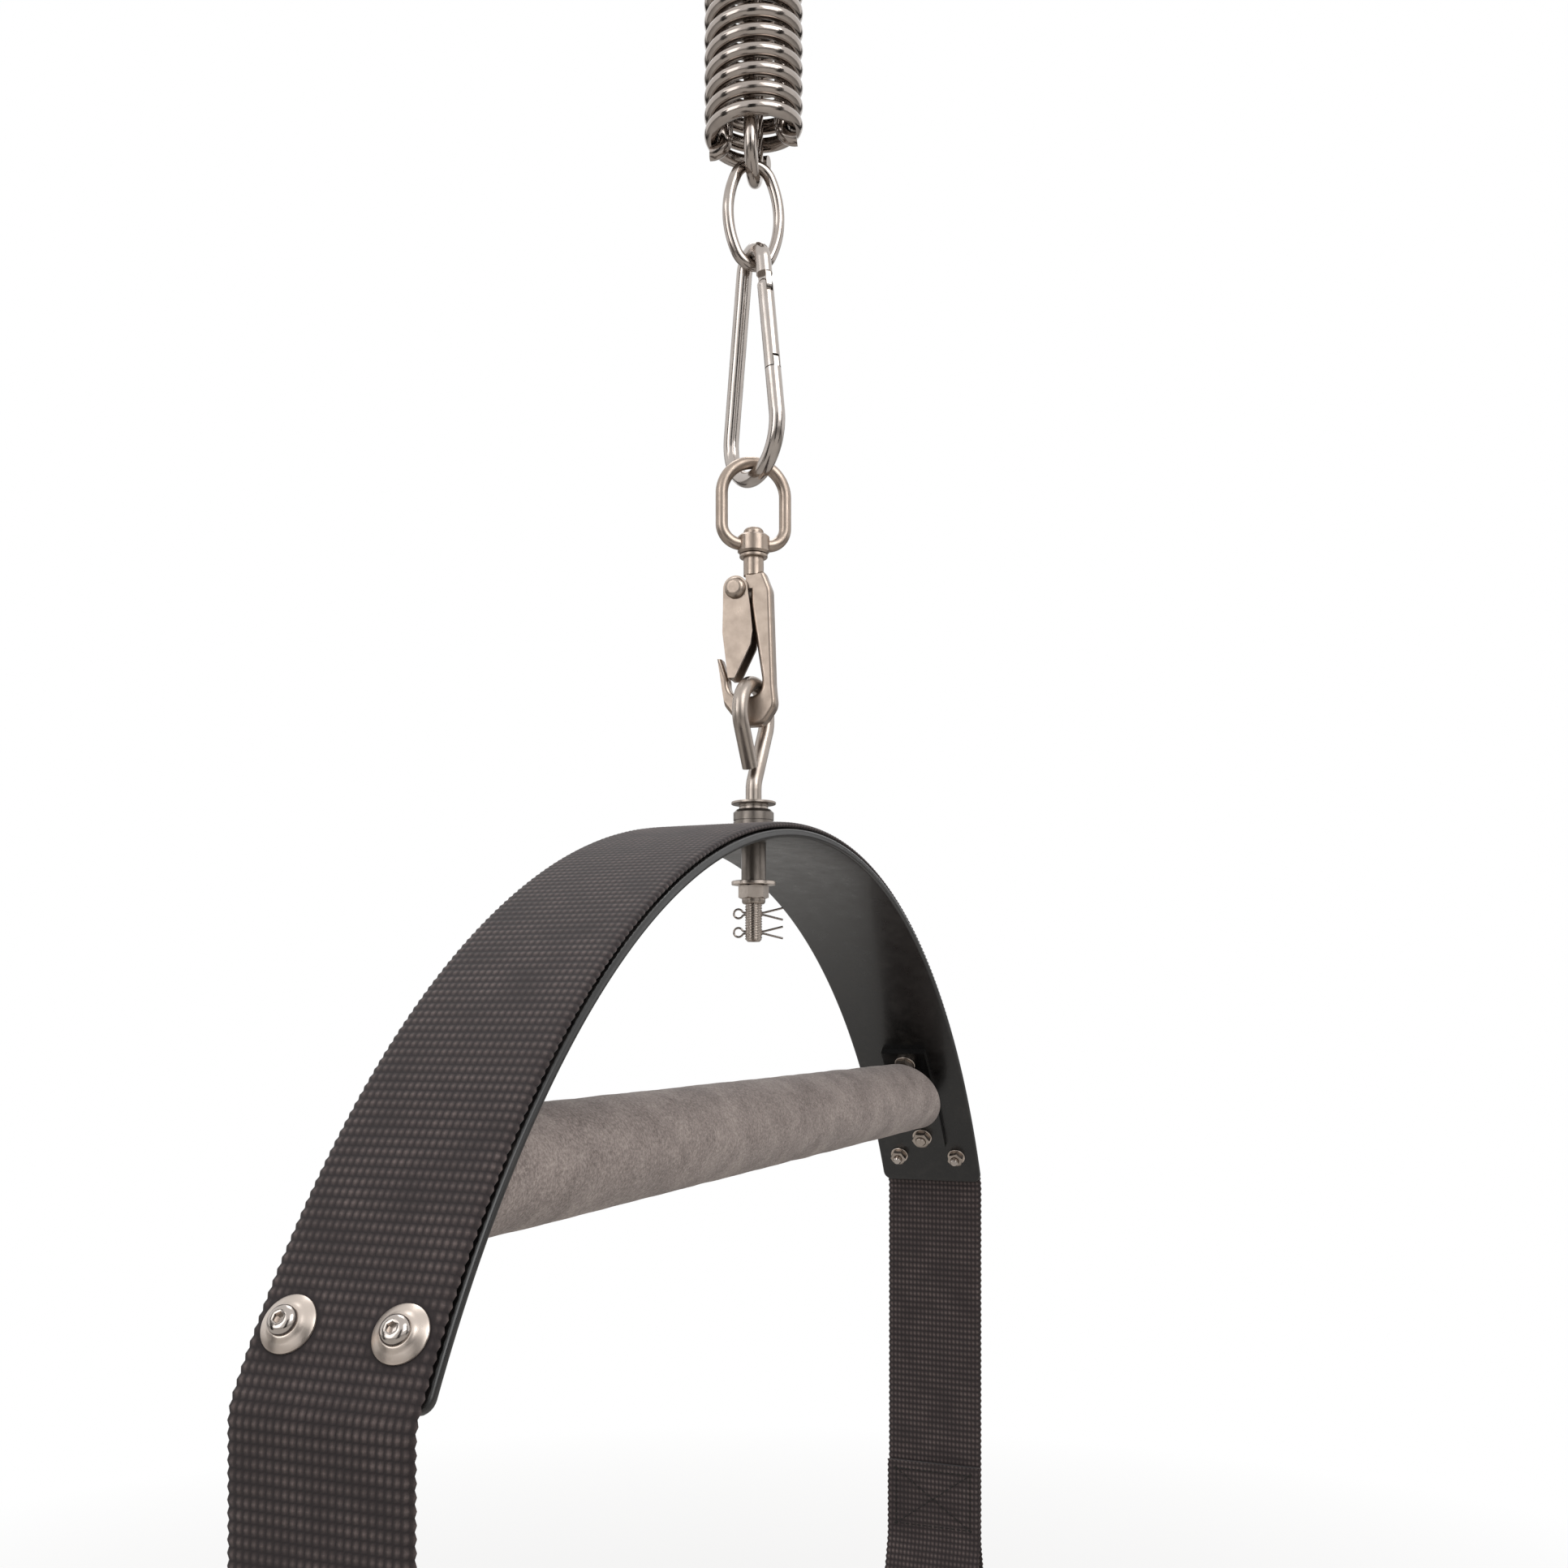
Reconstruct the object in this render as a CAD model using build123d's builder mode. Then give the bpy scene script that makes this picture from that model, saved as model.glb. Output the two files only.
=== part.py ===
from build123d import *
import os
from math import asin, atan2, cos, degrees, hypot, radians, sin, sqrt, tan

# Turning spreader frame of a strap swing, with the hardware that it hangs from.
# Millimetres, +Z up. The origin is the centre of the round top of the hanging loop.
# The frame turns about Z, and its arch and grab bar lie along X.

# ---------------------------------------------------------------- clearances
running_gap = 0.05  # radial, between a shaft and the bore that it turns in
hanging_gap = 0.3  # between two wires or hooks that hang on each other
turning_gap = 0.15  # axial, between flat faces that turn on each other
cloth_gap = 0.3  # between a soft piece and what it lies against

# ---------------------------------------------------------------- directions
# Compass direction of each hanging piece's own plane, in degrees from +X.
upper_drawbar_turn = -75.0
lower_drawbar_turn = 15.0
link_turn = -48.0
carabiner_turn = -128.0
bow_turn = -53.0
hook_turn = -84.0
eye_turn = -4.0
pin_turn = -68.0  # split pins, along their legs

# ---------------------------------------------------------------- drawbar spring
coil_od = 37.0
coil_wire = 5.3
coil_sides = 8  # of the wire's section, in place of a circle
coil_pitch = 7.0
coil_turns = 13
drawbar_wire = 5.0
drawbar_seat_gap = 0.4  # drawbar to the coil that it holds and passes through
drawbar_hook_sweep = 95.0  # how far each hook goes round its coil, degrees
loop_stand = 18.0  # hanging loop's centre above the coil's top end
lower_loop_drop = 3.4  # lower loop's centre below the coil's bottom end

# ---------------------------------------------------------------- oval link
link_wire = 4.3
link_width = 24.6
link_height = 42.0
link_end_radius = 7.5  # wire centre, at the link's two ends

# ---------------------------------------------------------------- carabiner
carabiner_wire = 6.0
carabiner_height = 91.0
carabiner_top_radius = 7.0  # wire centre
carabiner_bottom_radius = 17.0  # wire centre
shoulder_at = 6.0  # along the gate leg, from the end of the top bend
gate_pin_at = 11.0
gate_latch_at = 44.0
gate_end_gap = 0.4
tongue_thick = 2.2
tongue_slot = 2.8
tongue_width = 5.4
tongue_root = 0.5  # how far the tongue and nose start inside the round wire
nose_length = 4.0
gate_pin_wire = 2.0
gate_bore = 3.2
gate_bore_depth = 13.0
plunger_width = 2.4
plunger_length = 3.5
gate_spring_wire = 0.4
gate_spring_od = 2.6
gate_spring_turns = 7
spring_wire_sides = 4  # of both small gate springs' wire, in place of a circle

# ---------------------------------------------------------------- swivel eye
bow_wire = 4.6
bow_width = 29.2
bow_height = 33.0  # outside top of the bow to the middle of its bridge
bow_corner_radius = 7.0  # wire centre, at the two lower corners
boss_width = 12.0
boss_height = 7.0
boss_chamfer = 0.8
stem_journal = 5.0
stem_shank = 7.6
stem_head_width = 7.6
stem_head_height = 2.6
stem_shank_length = 5.6
swivel_washer_width = 10.6
swivel_washer_thick = 1.4

# ---------------------------------------------------------------- snap hook
# Heights are below the hook body's top, and x is towards the shank's side.
hook_depth = 6.5
hook_edge_radius = 1.5
hook_top_right = 4.6
shank_outside = 8.6  # at the throat
shank_inside = 3.9  # at the throat
shank_start_inside = -0.4  # where the shank leaves the rivet's ear
pivot_x = -5.8
pivot_drop = 6.3
pivot_ear_radius = 4.4
throat_width = 13.0
throat_clear_radius = 4.6  # inside bend, on the shank's side
throat_tip_radius = 5.0  # inside bend, on the tip's side
saddle_drop = 46.4
hook_drop = 57.5
bulb_bulge = 0.8  # bend's outside past the shank's
tip_drop = 32.0
tip_thick = 1.3
tip_flare = 2.8  # tip's top past its foot
lever_plate = 1.2
lever_play = 0.3
lever_drop = 39.6
lever_crease_drop = 22.5
lever_width = 11.6  # at the crease
lever_end_width = 2.6
lever_left = -10.8
lever_end_left = -8.7
lever_ear_radius = 4.7
rivet_shank = 3.0
rivet_head_width = 7.9
rivet_head_height = 2.2
lever_spring_wire = 0.8
lever_spring_od = 6.0
lever_spring_turns = 3
lever_spring_pocket = 3.4

# ---------------------------------------------------------------- eye bolt
eye_wire = 6.0
eye_width = 29.0
eye_seat_rise = 1.2  # over the hook's rounded saddle
eye_neck_drop = 39.4  # eye's top wire centre down to the neck, where the legs part
eye_neck_radius = 9.0
eye_end_gap = 0.5  # between the bent end and the neck
thread_length = 57.0  # neck to the bolt's lower end
bolt_chamfer = 0.8

# ---------------------------------------------------------------- bearing stack
head_washer_width = 16.8
head_washer_thick = 1.0
head_spacer_width = 11.0
head_spacer_thick = 1.8
bush_width = 15.2
bush_bevel = 1.2
bush_height = 9.8  # above the strip
bush_groove = 0.4
bush_groove_drop = 4.0
bush_spigot_width = 9.2
bush_spigot_drop = 13.8  # below the strip
thrust_washer_width = 16.7
thrust_washer_thick = 1.4
locknut_flats = 10.0
locknut_height = 7.2
locknut_collar = 2.0
split_pin_wire = 0.8  # each of its two legs
split_pin_drops = (3.6, 10.6)  # below the locknut
split_pin_reach = 11.0  # from the bolt's middle to the end of the legs
split_pin_eye = 1.7  # radius of its eye, wire centre
split_pin_eye_flare = 1.0  # radius of the bend into the eye
split_pin_splay = 14.0  # degrees that each leg bends away
split_pin_bend = 2.0  # radius of that bend
neck_to_washer = 4.6  # neck of the eye down to the head washer's top

# ---------------------------------------------------------------- arch
arch_radius = 290.0  # strip's inner face
arch_half_angle = 61.5
strip_width = 52.0
strip_thick = 3.0
strip_corner = 4.0
webbing_width = 50.0
webbing_thick = 2.5
webbing_end_gap = 1.6  # strip's end to the line where the strap bends freely

# ---------------------------------------------------------------- strap bolts
strap_bolt_setback = 16.2  # along the strip, from its end
strap_bolt_pitch = 30.4
strap_bolt_shank = 4.0
strap_bolt_hole = 4.4
strap_head_width = 7.6
strap_head_height = 2.2
strap_socket = 2.5
strap_socket_depth = 1.3
cup_washer_width = 14.6
cup_washer_thick = 1.0
cup_washer_rise = 1.4
strap_nut_flats = 7.0
strap_nut_height = 3.2
strap_bolt_tail = 2.4  # past the nut
strap_washer_width = 9.0
strap_washer_thick = 0.8

# ---------------------------------------------------------------- grab bar
bar_drop = 105.0  # arch's inner face at the top, down to the bar's middle
bar_tube_od = 18.0
bar_tube_wall = 1.6
foam_od = 34.0
end_plate_thick = 3.0
end_plate_width = 22.0
end_plate_margin = 7.0  # past each screw
bar_screw_shank = 5.0
bar_screw_hole = 5.3
bar_screw_head = 9.2
bar_screw_sink = 0.4  # head below the strip's face
bar_nut_flats = 8.0
bar_nut_height = 3.2
bar_screw_tail = 1.2
bar_screw_offset = 25.4  # each screw from the bar's middle, along the strip
bar_washer_width = 10.0
bar_washer_thick = 1.0
foam_setback = 12.0  # foam's cut ends from the strip's inner face

# ---------------------------------------------------------------- strap tails
tail_lap_top = 150.0  # bend line to the top of the doubled, sewn length
tail_lap = 37.0
tail_lap_press = 0.06  # each layer, pressed by the sewing
tail_loop_width = 14.0  # inside
tail_loop_flare = 18.0  # degrees that each side of the loop leans out
tail_loop_flare_radius = 20.0

def upright(turn, height=0.0):
    """Upright plane through the Z axis: x lies along the compass direction and y is up."""
    across = (cos(radians(turn)), sin(radians(turn)), 0)
    return Plane(
        origin=(0, 0, height),
        x_dir=across,
        z_dir=(across[1], -across[0], 0),
    )


def section_at_start(route):
    """Plane square to a route at its first point, for the section that is swept along it."""
    path = route.wires()[0]
    return Plane(origin=path @ 0, z_dir=path % 0)


def arch_plane(angle, across, radius):
    """Plane on the arch: z points out along the arch's radius and x runs down the strip."""
    a = radians(angle)
    return Plane(
        origin=(radius * sin(a), across, arch_centre_z + radius * cos(a)),
        x_dir=(cos(a), 0, -sin(a)),
        z_dir=(sin(a), 0, cos(a)),
    )


def arch_angle_at(drop, radius):
    """Angle from the top at which a circle about the arch's centre is this far below the arch's top."""
    return degrees(atan2(sqrt(radius**2 - (arch_radius - drop) ** 2), arch_radius - drop))


def arch_distance(edge):
    """Distance of a round edge's centre from the arch's axis."""
    centre = edge.arc_center
    return hypot(centre.X, centre.Z - arch_centre_z)


def coil_height(direction, turn):
    """Height of the coil's wire centre where its given turn passes a compass direction."""
    return coil_bottom + coil_pitch * (turn + (direction % 360) / 360)


def finish(sub_part, name):
    """Label a finished sub-part and write its STEP file."""
    sub_part.label = name
    export_step(sub_part, f"parts/{name}.step")


# ---------------------------------------------------------------- worked out
coil_radius = (coil_od - coil_wire) / 2
drawbar_hook_radius = (coil_wire + drawbar_wire) / 2 + drawbar_seat_gap
drawbar_leg_radius = coil_radius - drawbar_hook_radius
coil_top = -loop_stand
coil_bottom = coil_top - coil_pitch * coil_turns
lower_loop_z = coil_bottom - lower_loop_drop
lower_loop_wire_z = lower_loop_z - drawbar_leg_radius

link_top_z = lower_loop_wire_z + (drawbar_wire + link_wire) / 2 + hanging_gap
link_bottom_z = link_top_z - (link_height - link_wire)

carabiner_top_z = link_bottom_z + (link_wire + carabiner_wire) / 2 + hanging_gap
carabiner_bottom_z = carabiner_top_z - (carabiner_height - carabiner_wire)

bow_top_z = carabiner_bottom_z + (carabiner_wire + bow_wire) / 2 + hanging_gap
bridge_z = bow_top_z + bow_wire / 2 - bow_height
boss_bottom_z = bridge_z - boss_height / 2
boss_top_z = bridge_z + boss_height / 2
washer_top_z = boss_bottom_z - turning_gap
shank_top_z = washer_top_z - swivel_washer_thick
hook_top_z = shank_top_z - stem_shank_length

clear_centre_x = shank_inside - throat_clear_radius
eye_play = throat_clear_radius - eye_wire / 2 - hanging_gap
saddle_z = hook_top_z - saddle_drop
eye_top_z = saddle_z + throat_clear_radius - sqrt(eye_play**2 - clear_centre_x**2) + eye_seat_rise
throat_left = shank_inside - throat_width

eye_radius = (eye_width - eye_wire) / 2
eye_centre_z = eye_top_z - eye_radius
neck_z = eye_top_z - eye_neck_drop
bolt_bottom_z = neck_z - thread_length

head_washer_top_z = neck_z - neck_to_washer
spacer_top_z = head_washer_top_z - head_washer_thick
bush_top_z = spacer_top_z - head_spacer_thick - turning_gap
strip_top_z = bush_top_z - bush_height
arch_top_z = strip_top_z - strip_thick
spigot_bottom_z = arch_top_z - bush_spigot_drop
thrust_top_z = spigot_bottom_z - turning_gap
locknut_top_z = thrust_top_z - thrust_washer_thick
locknut_bottom_z = locknut_top_z - locknut_height

arch_centre_z = arch_top_z - arch_radius
strip_outer = arch_radius + strip_thick
webbing_outer = strip_outer + webbing_thick
webbing_middle = strip_outer + webbing_thick / 2
strap_bolt_angle = arch_half_angle - degrees(strap_bolt_setback / arch_radius)
bend_angle = arch_half_angle + degrees(webbing_end_gap / webbing_middle)
bend_x = webbing_middle * sin(radians(bend_angle))
bend_z = arch_centre_z + webbing_middle * cos(radians(bend_angle))

plate_inner = arch_radius - end_plate_thick
bar_z = arch_top_z - bar_drop
bar_angle = arch_angle_at(bar_drop, arch_radius)
screw_step = degrees(bar_screw_offset / arch_radius)
screw_angles = (bar_angle - screw_step, bar_angle + screw_step)
plate_step = degrees((bar_screw_offset + end_plate_margin) / arch_radius)


os.makedirs("parts", exist_ok=True)

# ================================================================ drawbar spring
# Two bent drawbars pull the coil shut between them: each passes through it and hooks
# round its far end, so a broken coil still carries the load.
with BuildPart() as spring_coil:
    with BuildLine() as coil_route:
        Helix(coil_pitch, coil_pitch * coil_turns, coil_radius, center=(0, 0, coil_bottom))
    with BuildSketch(section_at_start(coil_route)):
        RegularPolygon(coil_wire / 2, coil_sides)
    sweep(is_frenet=True)
finish(spring_coil.part, "spring_coil")

upper_seat = coil_height(upper_drawbar_turn, 0)
upper_seat_back = coil_height(upper_drawbar_turn + 180, 0)
with BuildPart() as upper_drawbar:
    with BuildLine(upright(upper_drawbar_turn)) as upper_route:
        CenterArc(
            (coil_radius, upper_seat),
            drawbar_hook_radius,
            180 + drawbar_hook_sweep,
            -drawbar_hook_sweep,
        )
        Line((drawbar_leg_radius, upper_seat), (drawbar_leg_radius, 0))
        CenterArc((0, 0), drawbar_leg_radius, 0, 180)
        Line((-drawbar_leg_radius, 0), (-drawbar_leg_radius, upper_seat_back))
        CenterArc((-coil_radius, upper_seat_back), drawbar_hook_radius, 0, -drawbar_hook_sweep)
    with BuildSketch(section_at_start(upper_route)):
        Circle(drawbar_wire / 2)
    sweep()
finish(upper_drawbar.part, "upper_drawbar")

lower_seat = coil_height(lower_drawbar_turn, coil_turns - 1)
lower_seat_back = coil_height(lower_drawbar_turn + 180, coil_turns - 1)
with BuildPart() as lower_drawbar:
    with BuildLine(upright(lower_drawbar_turn)) as lower_route:
        CenterArc(
            (coil_radius, lower_seat),
            drawbar_hook_radius,
            180 - drawbar_hook_sweep,
            drawbar_hook_sweep,
        )
        Line((drawbar_leg_radius, lower_seat), (drawbar_leg_radius, lower_loop_z))
        CenterArc((0, lower_loop_z), drawbar_leg_radius, 0, -180)
        Line((-drawbar_leg_radius, lower_loop_z), (-drawbar_leg_radius, lower_seat_back))
        CenterArc((-coil_radius, lower_seat_back), drawbar_hook_radius, 0, drawbar_hook_sweep)
    with BuildSketch(section_at_start(lower_route)):
        Circle(drawbar_wire / 2)
    sweep()
finish(lower_drawbar.part, "lower_drawbar")

# ================================================================ oval link
# A four-arc oval: two small end arcs, joined by two long side arcs.
link_half_width = (link_width - link_wire) / 2
link_half_height = (link_top_z - link_bottom_z) / 2
link_middle_z = (link_top_z + link_bottom_z) / 2
link_end_rise = link_half_height - link_end_radius
link_side_radius = (link_half_width**2 + link_end_rise**2 - link_end_radius**2) / (
    2 * (link_half_width - link_end_radius)
)
link_side_shift = link_side_radius - link_half_width
link_side_angle = degrees(atan2(link_end_rise, link_side_shift))
with BuildPart() as oval_link:
    with BuildLine(upright(link_turn, link_middle_z)) as link_route:
        CenterArc((-link_side_shift, 0), link_side_radius, -link_side_angle, 2 * link_side_angle)
        CenterArc(
            (0, link_end_rise), link_end_radius, link_side_angle, 180 - 2 * link_side_angle
        )
        CenterArc(
            (link_side_shift, 0), link_side_radius, 180 - link_side_angle, 2 * link_side_angle
        )
        CenterArc(
            (0, -link_end_rise), link_end_radius, 180 + link_side_angle, 180 - 2 * link_side_angle
        )
    with BuildSketch(section_at_start(link_route)):
        Circle(link_wire / 2)
    sweep()
finish(oval_link.part, "oval_link")

# ================================================================ carabiner
# Pear-shaped spring hook: two bends of different radius joined by straight legs. The gate
# lies in the leg on the plane's +x side and swings inwards about a pin near its top.
pear_top = carabiner_top_z - carabiner_top_radius
pear_bottom = carabiner_bottom_z + carabiner_bottom_radius
pear_lean = asin((carabiner_bottom_radius - carabiner_top_radius) / (pear_top - pear_bottom))
pear_leg = sqrt(
    (pear_top - pear_bottom) ** 2 - (carabiner_bottom_radius - carabiner_top_radius) ** 2
)
lean_degrees = degrees(pear_lean)
carabiner_plane = upright(carabiner_turn)


def on_leg(distance, side=1):
    """Point on a leg's centre line, this far below the end of the top bend."""
    return (
        side * (carabiner_top_radius * cos(pear_lean) + distance * sin(pear_lean)),
        pear_top + carabiner_top_radius * sin(pear_lean) - distance * cos(pear_lean),
    )


def leg_plane(distance):
    """Plane square to the gate leg: z runs down the leg and x points out of the hook."""
    flat = carabiner_plane
    return Plane(
        origin=flat.from_local_coords((*on_leg(distance), 0)),
        x_dir=flat.x_dir * cos(pear_lean) + flat.y_dir * sin(pear_lean),
        z_dir=flat.x_dir * sin(pear_lean) - flat.y_dir * cos(pear_lean),
    )


def pin_plane():
    """Plane through the gate pin's middle, square to the pin."""
    across = leg_plane(gate_pin_at)
    return Plane(origin=across.origin, x_dir=across.x_dir, z_dir=carabiner_plane.z_dir)


with BuildPart() as carabiner_body:
    with BuildLine(carabiner_plane) as pear_route:
        Line(on_leg(gate_latch_at), on_leg(pear_leg))
        CenterArc(
            (0, pear_bottom), carabiner_bottom_radius, lean_degrees, -180 - 2 * lean_degrees
        )
        Line(on_leg(pear_leg, -1), on_leg(0, -1))
        CenterArc((0, pear_top), carabiner_top_radius, 180 - lean_degrees, -180 + 2 * lean_degrees)
        Line(on_leg(0), on_leg(shoulder_at))
    with BuildSketch(section_at_start(pear_route)):
        Circle(carabiner_wire / 2)
    sweep()
    # flat hinge tongue, rounded about the gate's pin
    with BuildSketch(leg_plane(shoulder_at).offset(-tongue_root)):
        Rectangle(tongue_width, tongue_thick)
    extrude(amount=gate_pin_at - shoulder_at + tongue_root)
    with BuildSketch(pin_plane()):
        Circle(tongue_width / 2)
        Circle(gate_pin_wire / 2 + running_gap, mode=Mode.SUBTRACT)
    extrude(amount=tongue_thick / 2, both=True)
    with BuildSketch(pin_plane()):
        Circle(gate_pin_wire / 2 + running_gap)
    extrude(amount=tongue_thick, both=True, mode=Mode.SUBTRACT)
    # flat nose that the gate's lower slot closes over
    with BuildSketch(leg_plane(gate_latch_at + tongue_root)):
        Rectangle(tongue_width, tongue_thick)
    extrude(amount=-nose_length - tongue_root)
finish(carabiner_body.part, "carabiner_body")

gate_length = gate_latch_at - gate_end_gap - gate_pin_at
slot_depth = tongue_width / 2 + hanging_gap
with BuildPart(leg_plane(gate_pin_at)) as carabiner_gate:
    Cylinder(carabiner_wire / 2, gate_length, align=(Align.CENTER, Align.CENTER, Align.MIN))
    Sphere(carabiner_wire / 2)
    with Locations((0, 0, slot_depth)):
        Box(
            2 * carabiner_wire,
            tongue_slot,
            slot_depth + carabiner_wire,
            align=(Align.CENTER, Align.CENTER, Align.MAX),
            mode=Mode.SUBTRACT,
        )
    Cylinder(
        gate_bore / 2,
        slot_depth + gate_bore_depth,
        align=(Align.CENTER, Align.CENTER, Align.MIN),
        mode=Mode.SUBTRACT,
    )
    with Locations((0, 0, gate_length)):
        Box(
            2 * carabiner_wire,
            tongue_slot,
            2 * (nose_length + hanging_gap),
            mode=Mode.SUBTRACT,
        )
    with Locations(Rotation(90, 0, 0)):
        Cylinder(gate_pin_wire / 2, 2 * carabiner_wire, mode=Mode.SUBTRACT)
finish(carabiner_gate.part, "carabiner_gate")

with BuildPart(leg_plane(gate_pin_at)) as carabiner_gate_pin:
    with Locations(Rotation(90, 0, 0)):
        Cylinder(gate_pin_wire / 2, carabiner_wire)
finish(carabiner_gate_pin.part, "carabiner_gate_pin")

with BuildPart(leg_plane(gate_pin_at + slot_depth)) as carabiner_gate_plunger:
    Cylinder(plunger_width / 2, plunger_length, align=(Align.CENTER, Align.CENTER, Align.MIN))
finish(carabiner_gate_plunger.part, "carabiner_gate_plunger")

spring_start = slot_depth + plunger_length + gate_spring_wire / 2
spring_room = gate_bore_depth - plunger_length - gate_spring_wire
with BuildPart() as carabiner_gate_spring:
    with BuildLine() as gate_spring_route:
        Helix(
            spring_room / gate_spring_turns,
            spring_room,
            (gate_spring_od - gate_spring_wire) / 2,
            center=leg_plane(gate_pin_at + spring_start).origin,
            direction=leg_plane(gate_pin_at).z_dir,
        )
    with BuildSketch(section_at_start(gate_spring_route)):
        RegularPolygon(gate_spring_wire / 2, spring_wire_sides)
    sweep(is_frenet=True)
finish(carabiner_gate_spring.part, "carabiner_gate_spring")

# ================================================================ swivel eye
# D-shaped bow with a boss in its bridge; the hook's stem turns in the boss.
bow_radius = (bow_width - bow_wire) / 2
bow_arc_z = bow_top_z - bow_radius
bow_corner_z = bridge_z + bow_corner_radius
bow_flat = bow_radius - bow_corner_radius
with BuildPart() as swivel_bow:
    with BuildLine(upright(bow_turn)) as bow_route:
        Line((0, bridge_z), (bow_flat, bridge_z))
        CenterArc((bow_flat, bow_corner_z), bow_corner_radius, -90, 90)
        Line((bow_radius, bow_corner_z), (bow_radius, bow_arc_z))
        CenterArc((0, bow_arc_z), bow_radius, 0, 180)
        Line((-bow_radius, bow_arc_z), (-bow_radius, bow_corner_z))
        CenterArc((-bow_flat, bow_corner_z), bow_corner_radius, 180, 90)
        Line((-bow_flat, bridge_z), (0, bridge_z))
    with BuildSketch(section_at_start(bow_route)):
        Circle(bow_wire / 2)
    sweep()
    with BuildSketch(Plane.XY.offset(boss_bottom_z)):
        Circle(boss_width / 2)
    extrude(amount=boss_height)
    boss_rims = swivel_bow.edges().filter_by(GeomType.CIRCLE).filter_by(
        lambda e: abs(e.radius - boss_width / 2) < 1e-6
    )
    chamfer(boss_rims, boss_chamfer)
    with BuildSketch(Plane.XY.offset(boss_bottom_z)):
        Circle(stem_journal / 2 + running_gap)
    extrude(amount=boss_height, mode=Mode.SUBTRACT)
finish(swivel_bow.part, "swivel_bow")

with BuildPart() as swivel_washer:
    with BuildSketch(Plane.XY.offset(shank_top_z)):
        Circle(swivel_washer_width / 2)
        Circle(stem_journal / 2, mode=Mode.SUBTRACT)
    extrude(amount=swivel_washer_thick)
    chamfer(swivel_washer.edges().filter_by(GeomType.CIRCLE).sort_by(SortBy.RADIUS)[-2:], 0.3)
finish(swivel_washer.part, "swivel_washer")

# ================================================================ snap hook
# A flat forged J with its stem, closed by a stamped channel lever on a domed rivet.
hook_plane = upright(hook_turn, hook_top_z)
rivet_plane = Plane(
    origin=hook_plane.from_local_coords((pivot_x, -pivot_drop, 0)),
    x_dir=hook_plane.x_dir,
    z_dir=hook_plane.z_dir,
)
lever_half = hook_depth / 2 + lever_play + lever_plate


def on_rim(edge, left, right, low, high):
    """Whether an edge of the hook's broad faces has its middle between these limits."""
    middle = hook_plane.to_local_coords(edge @ 0.5)
    inside = left < middle.X < right and low < middle.Y < high
    return inside and abs(abs(middle.Z) - hook_depth / 2) < 0.01


def in_throat(edge):
    """Whether an edge runs round the inside of the hook's bend."""
    tip_middle = throat_left - tip_flare / 2 - 0.5
    return on_rim(edge, tip_middle, shank_inside + 0.01, -saddle_drop - 0.1, -pivot_drop - 7)


def on_outside(edge):
    """Whether an edge runs down the back of the shank or round the outside of the bend."""
    return on_rim(edge, hook_top_right + 1, 2 * shank_outside, -hook_drop + 1, -8)


head_base_z = boss_top_z + turning_gap
with BuildPart() as hook_body:
    with BuildSketch(hook_plane):
        with BuildLine():
            FilletPolyline(
                (-pivot_ear_radius / 2, 0),
                (hook_top_right, 0),
                (shank_outside - 1.2, -7),
                (shank_outside, -saddle_drop + 4),
                (shank_outside + bulb_bulge, -saddle_drop - 4),
                (hook_top_right, -hook_drop),
                (-hook_top_right, -hook_drop),
                (throat_left - tip_thick, -saddle_drop - 3.5),
                (throat_left - tip_flare - tip_thick, -tip_drop),
                (throat_left - tip_flare, -tip_drop),
                (throat_left, -tip_drop - 8),
                (throat_left, -saddle_drop),
                (shank_inside, -saddle_drop),
                (shank_inside, -tip_drop - 8),
                (shank_start_inside, -pivot_drop - 6),
                (shank_start_inside, -pivot_drop),
                (-pivot_ear_radius / 2, -pivot_drop),
                radius=(
                    0, 1.5, 6, 12, 6, 6, 6, 0, 0, 0, 6,
                    throat_tip_radius, throat_clear_radius, 12, 8, 0, 0,
                ),
                close=True,
            )
        make_face()
    extrude(amount=hook_depth / 2, both=True)
    fillet(hook_body.edges().filter_by(in_throat), hook_edge_radius)
    fillet(hook_body.edges().filter_by(on_outside), hook_edge_radius)
    with BuildSketch(rivet_plane):
        Circle(pivot_ear_radius)
    extrude(amount=hook_depth / 2, both=True)
    with BuildSketch(Plane.XY.offset(hook_top_z - 1)):
        Circle(stem_shank / 2)
    extrude(amount=stem_shank_length + 1)
    with BuildSketch(Plane.XY.offset(shank_top_z)):
        Circle(stem_journal / 2)
    extrude(amount=head_base_z - shank_top_z)
    with BuildSketch(Plane.XY.offset(head_base_z)):
        Circle(stem_head_width / 2)
    extrude(amount=stem_head_height)
    head_rim = hook_body.faces().sort_by(Axis.Z)[-1].edges()
    fillet(head_rim, stem_head_height * 0.7)
    with BuildSketch(rivet_plane):
        Circle(rivet_shank / 2)
    extrude(amount=hook_depth, both=True, mode=Mode.SUBTRACT)
    with BuildSketch(rivet_plane.offset(hook_depth / 2)):
        Circle(lever_spring_od / 2 + hanging_gap)
    extrude(amount=-lever_spring_pocket, mode=Mode.SUBTRACT)
finish(hook_body.part, "hook_body")

with BuildPart() as gate_rivet:
    with BuildSketch(rivet_plane):
        Circle(rivet_shank / 2)
    extrude(amount=lever_half + turning_gap, both=True)
    for face_side in (1, -1):
        with BuildSketch(rivet_plane.offset(face_side * (lever_half + turning_gap))):
            Circle(rivet_head_width / 2)
        extrude(amount=face_side * rivet_head_height)
    rims = gate_rivet.edges().filter_by(GeomType.CIRCLE).filter_by(
        lambda e: abs(abs(rivet_plane.to_local_coords(e.arc_center).Z) - lever_half) > 1
    )
    fillet(rims, rivet_head_height * 0.9)
finish(gate_rivet.part, "gate_rivet")

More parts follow.
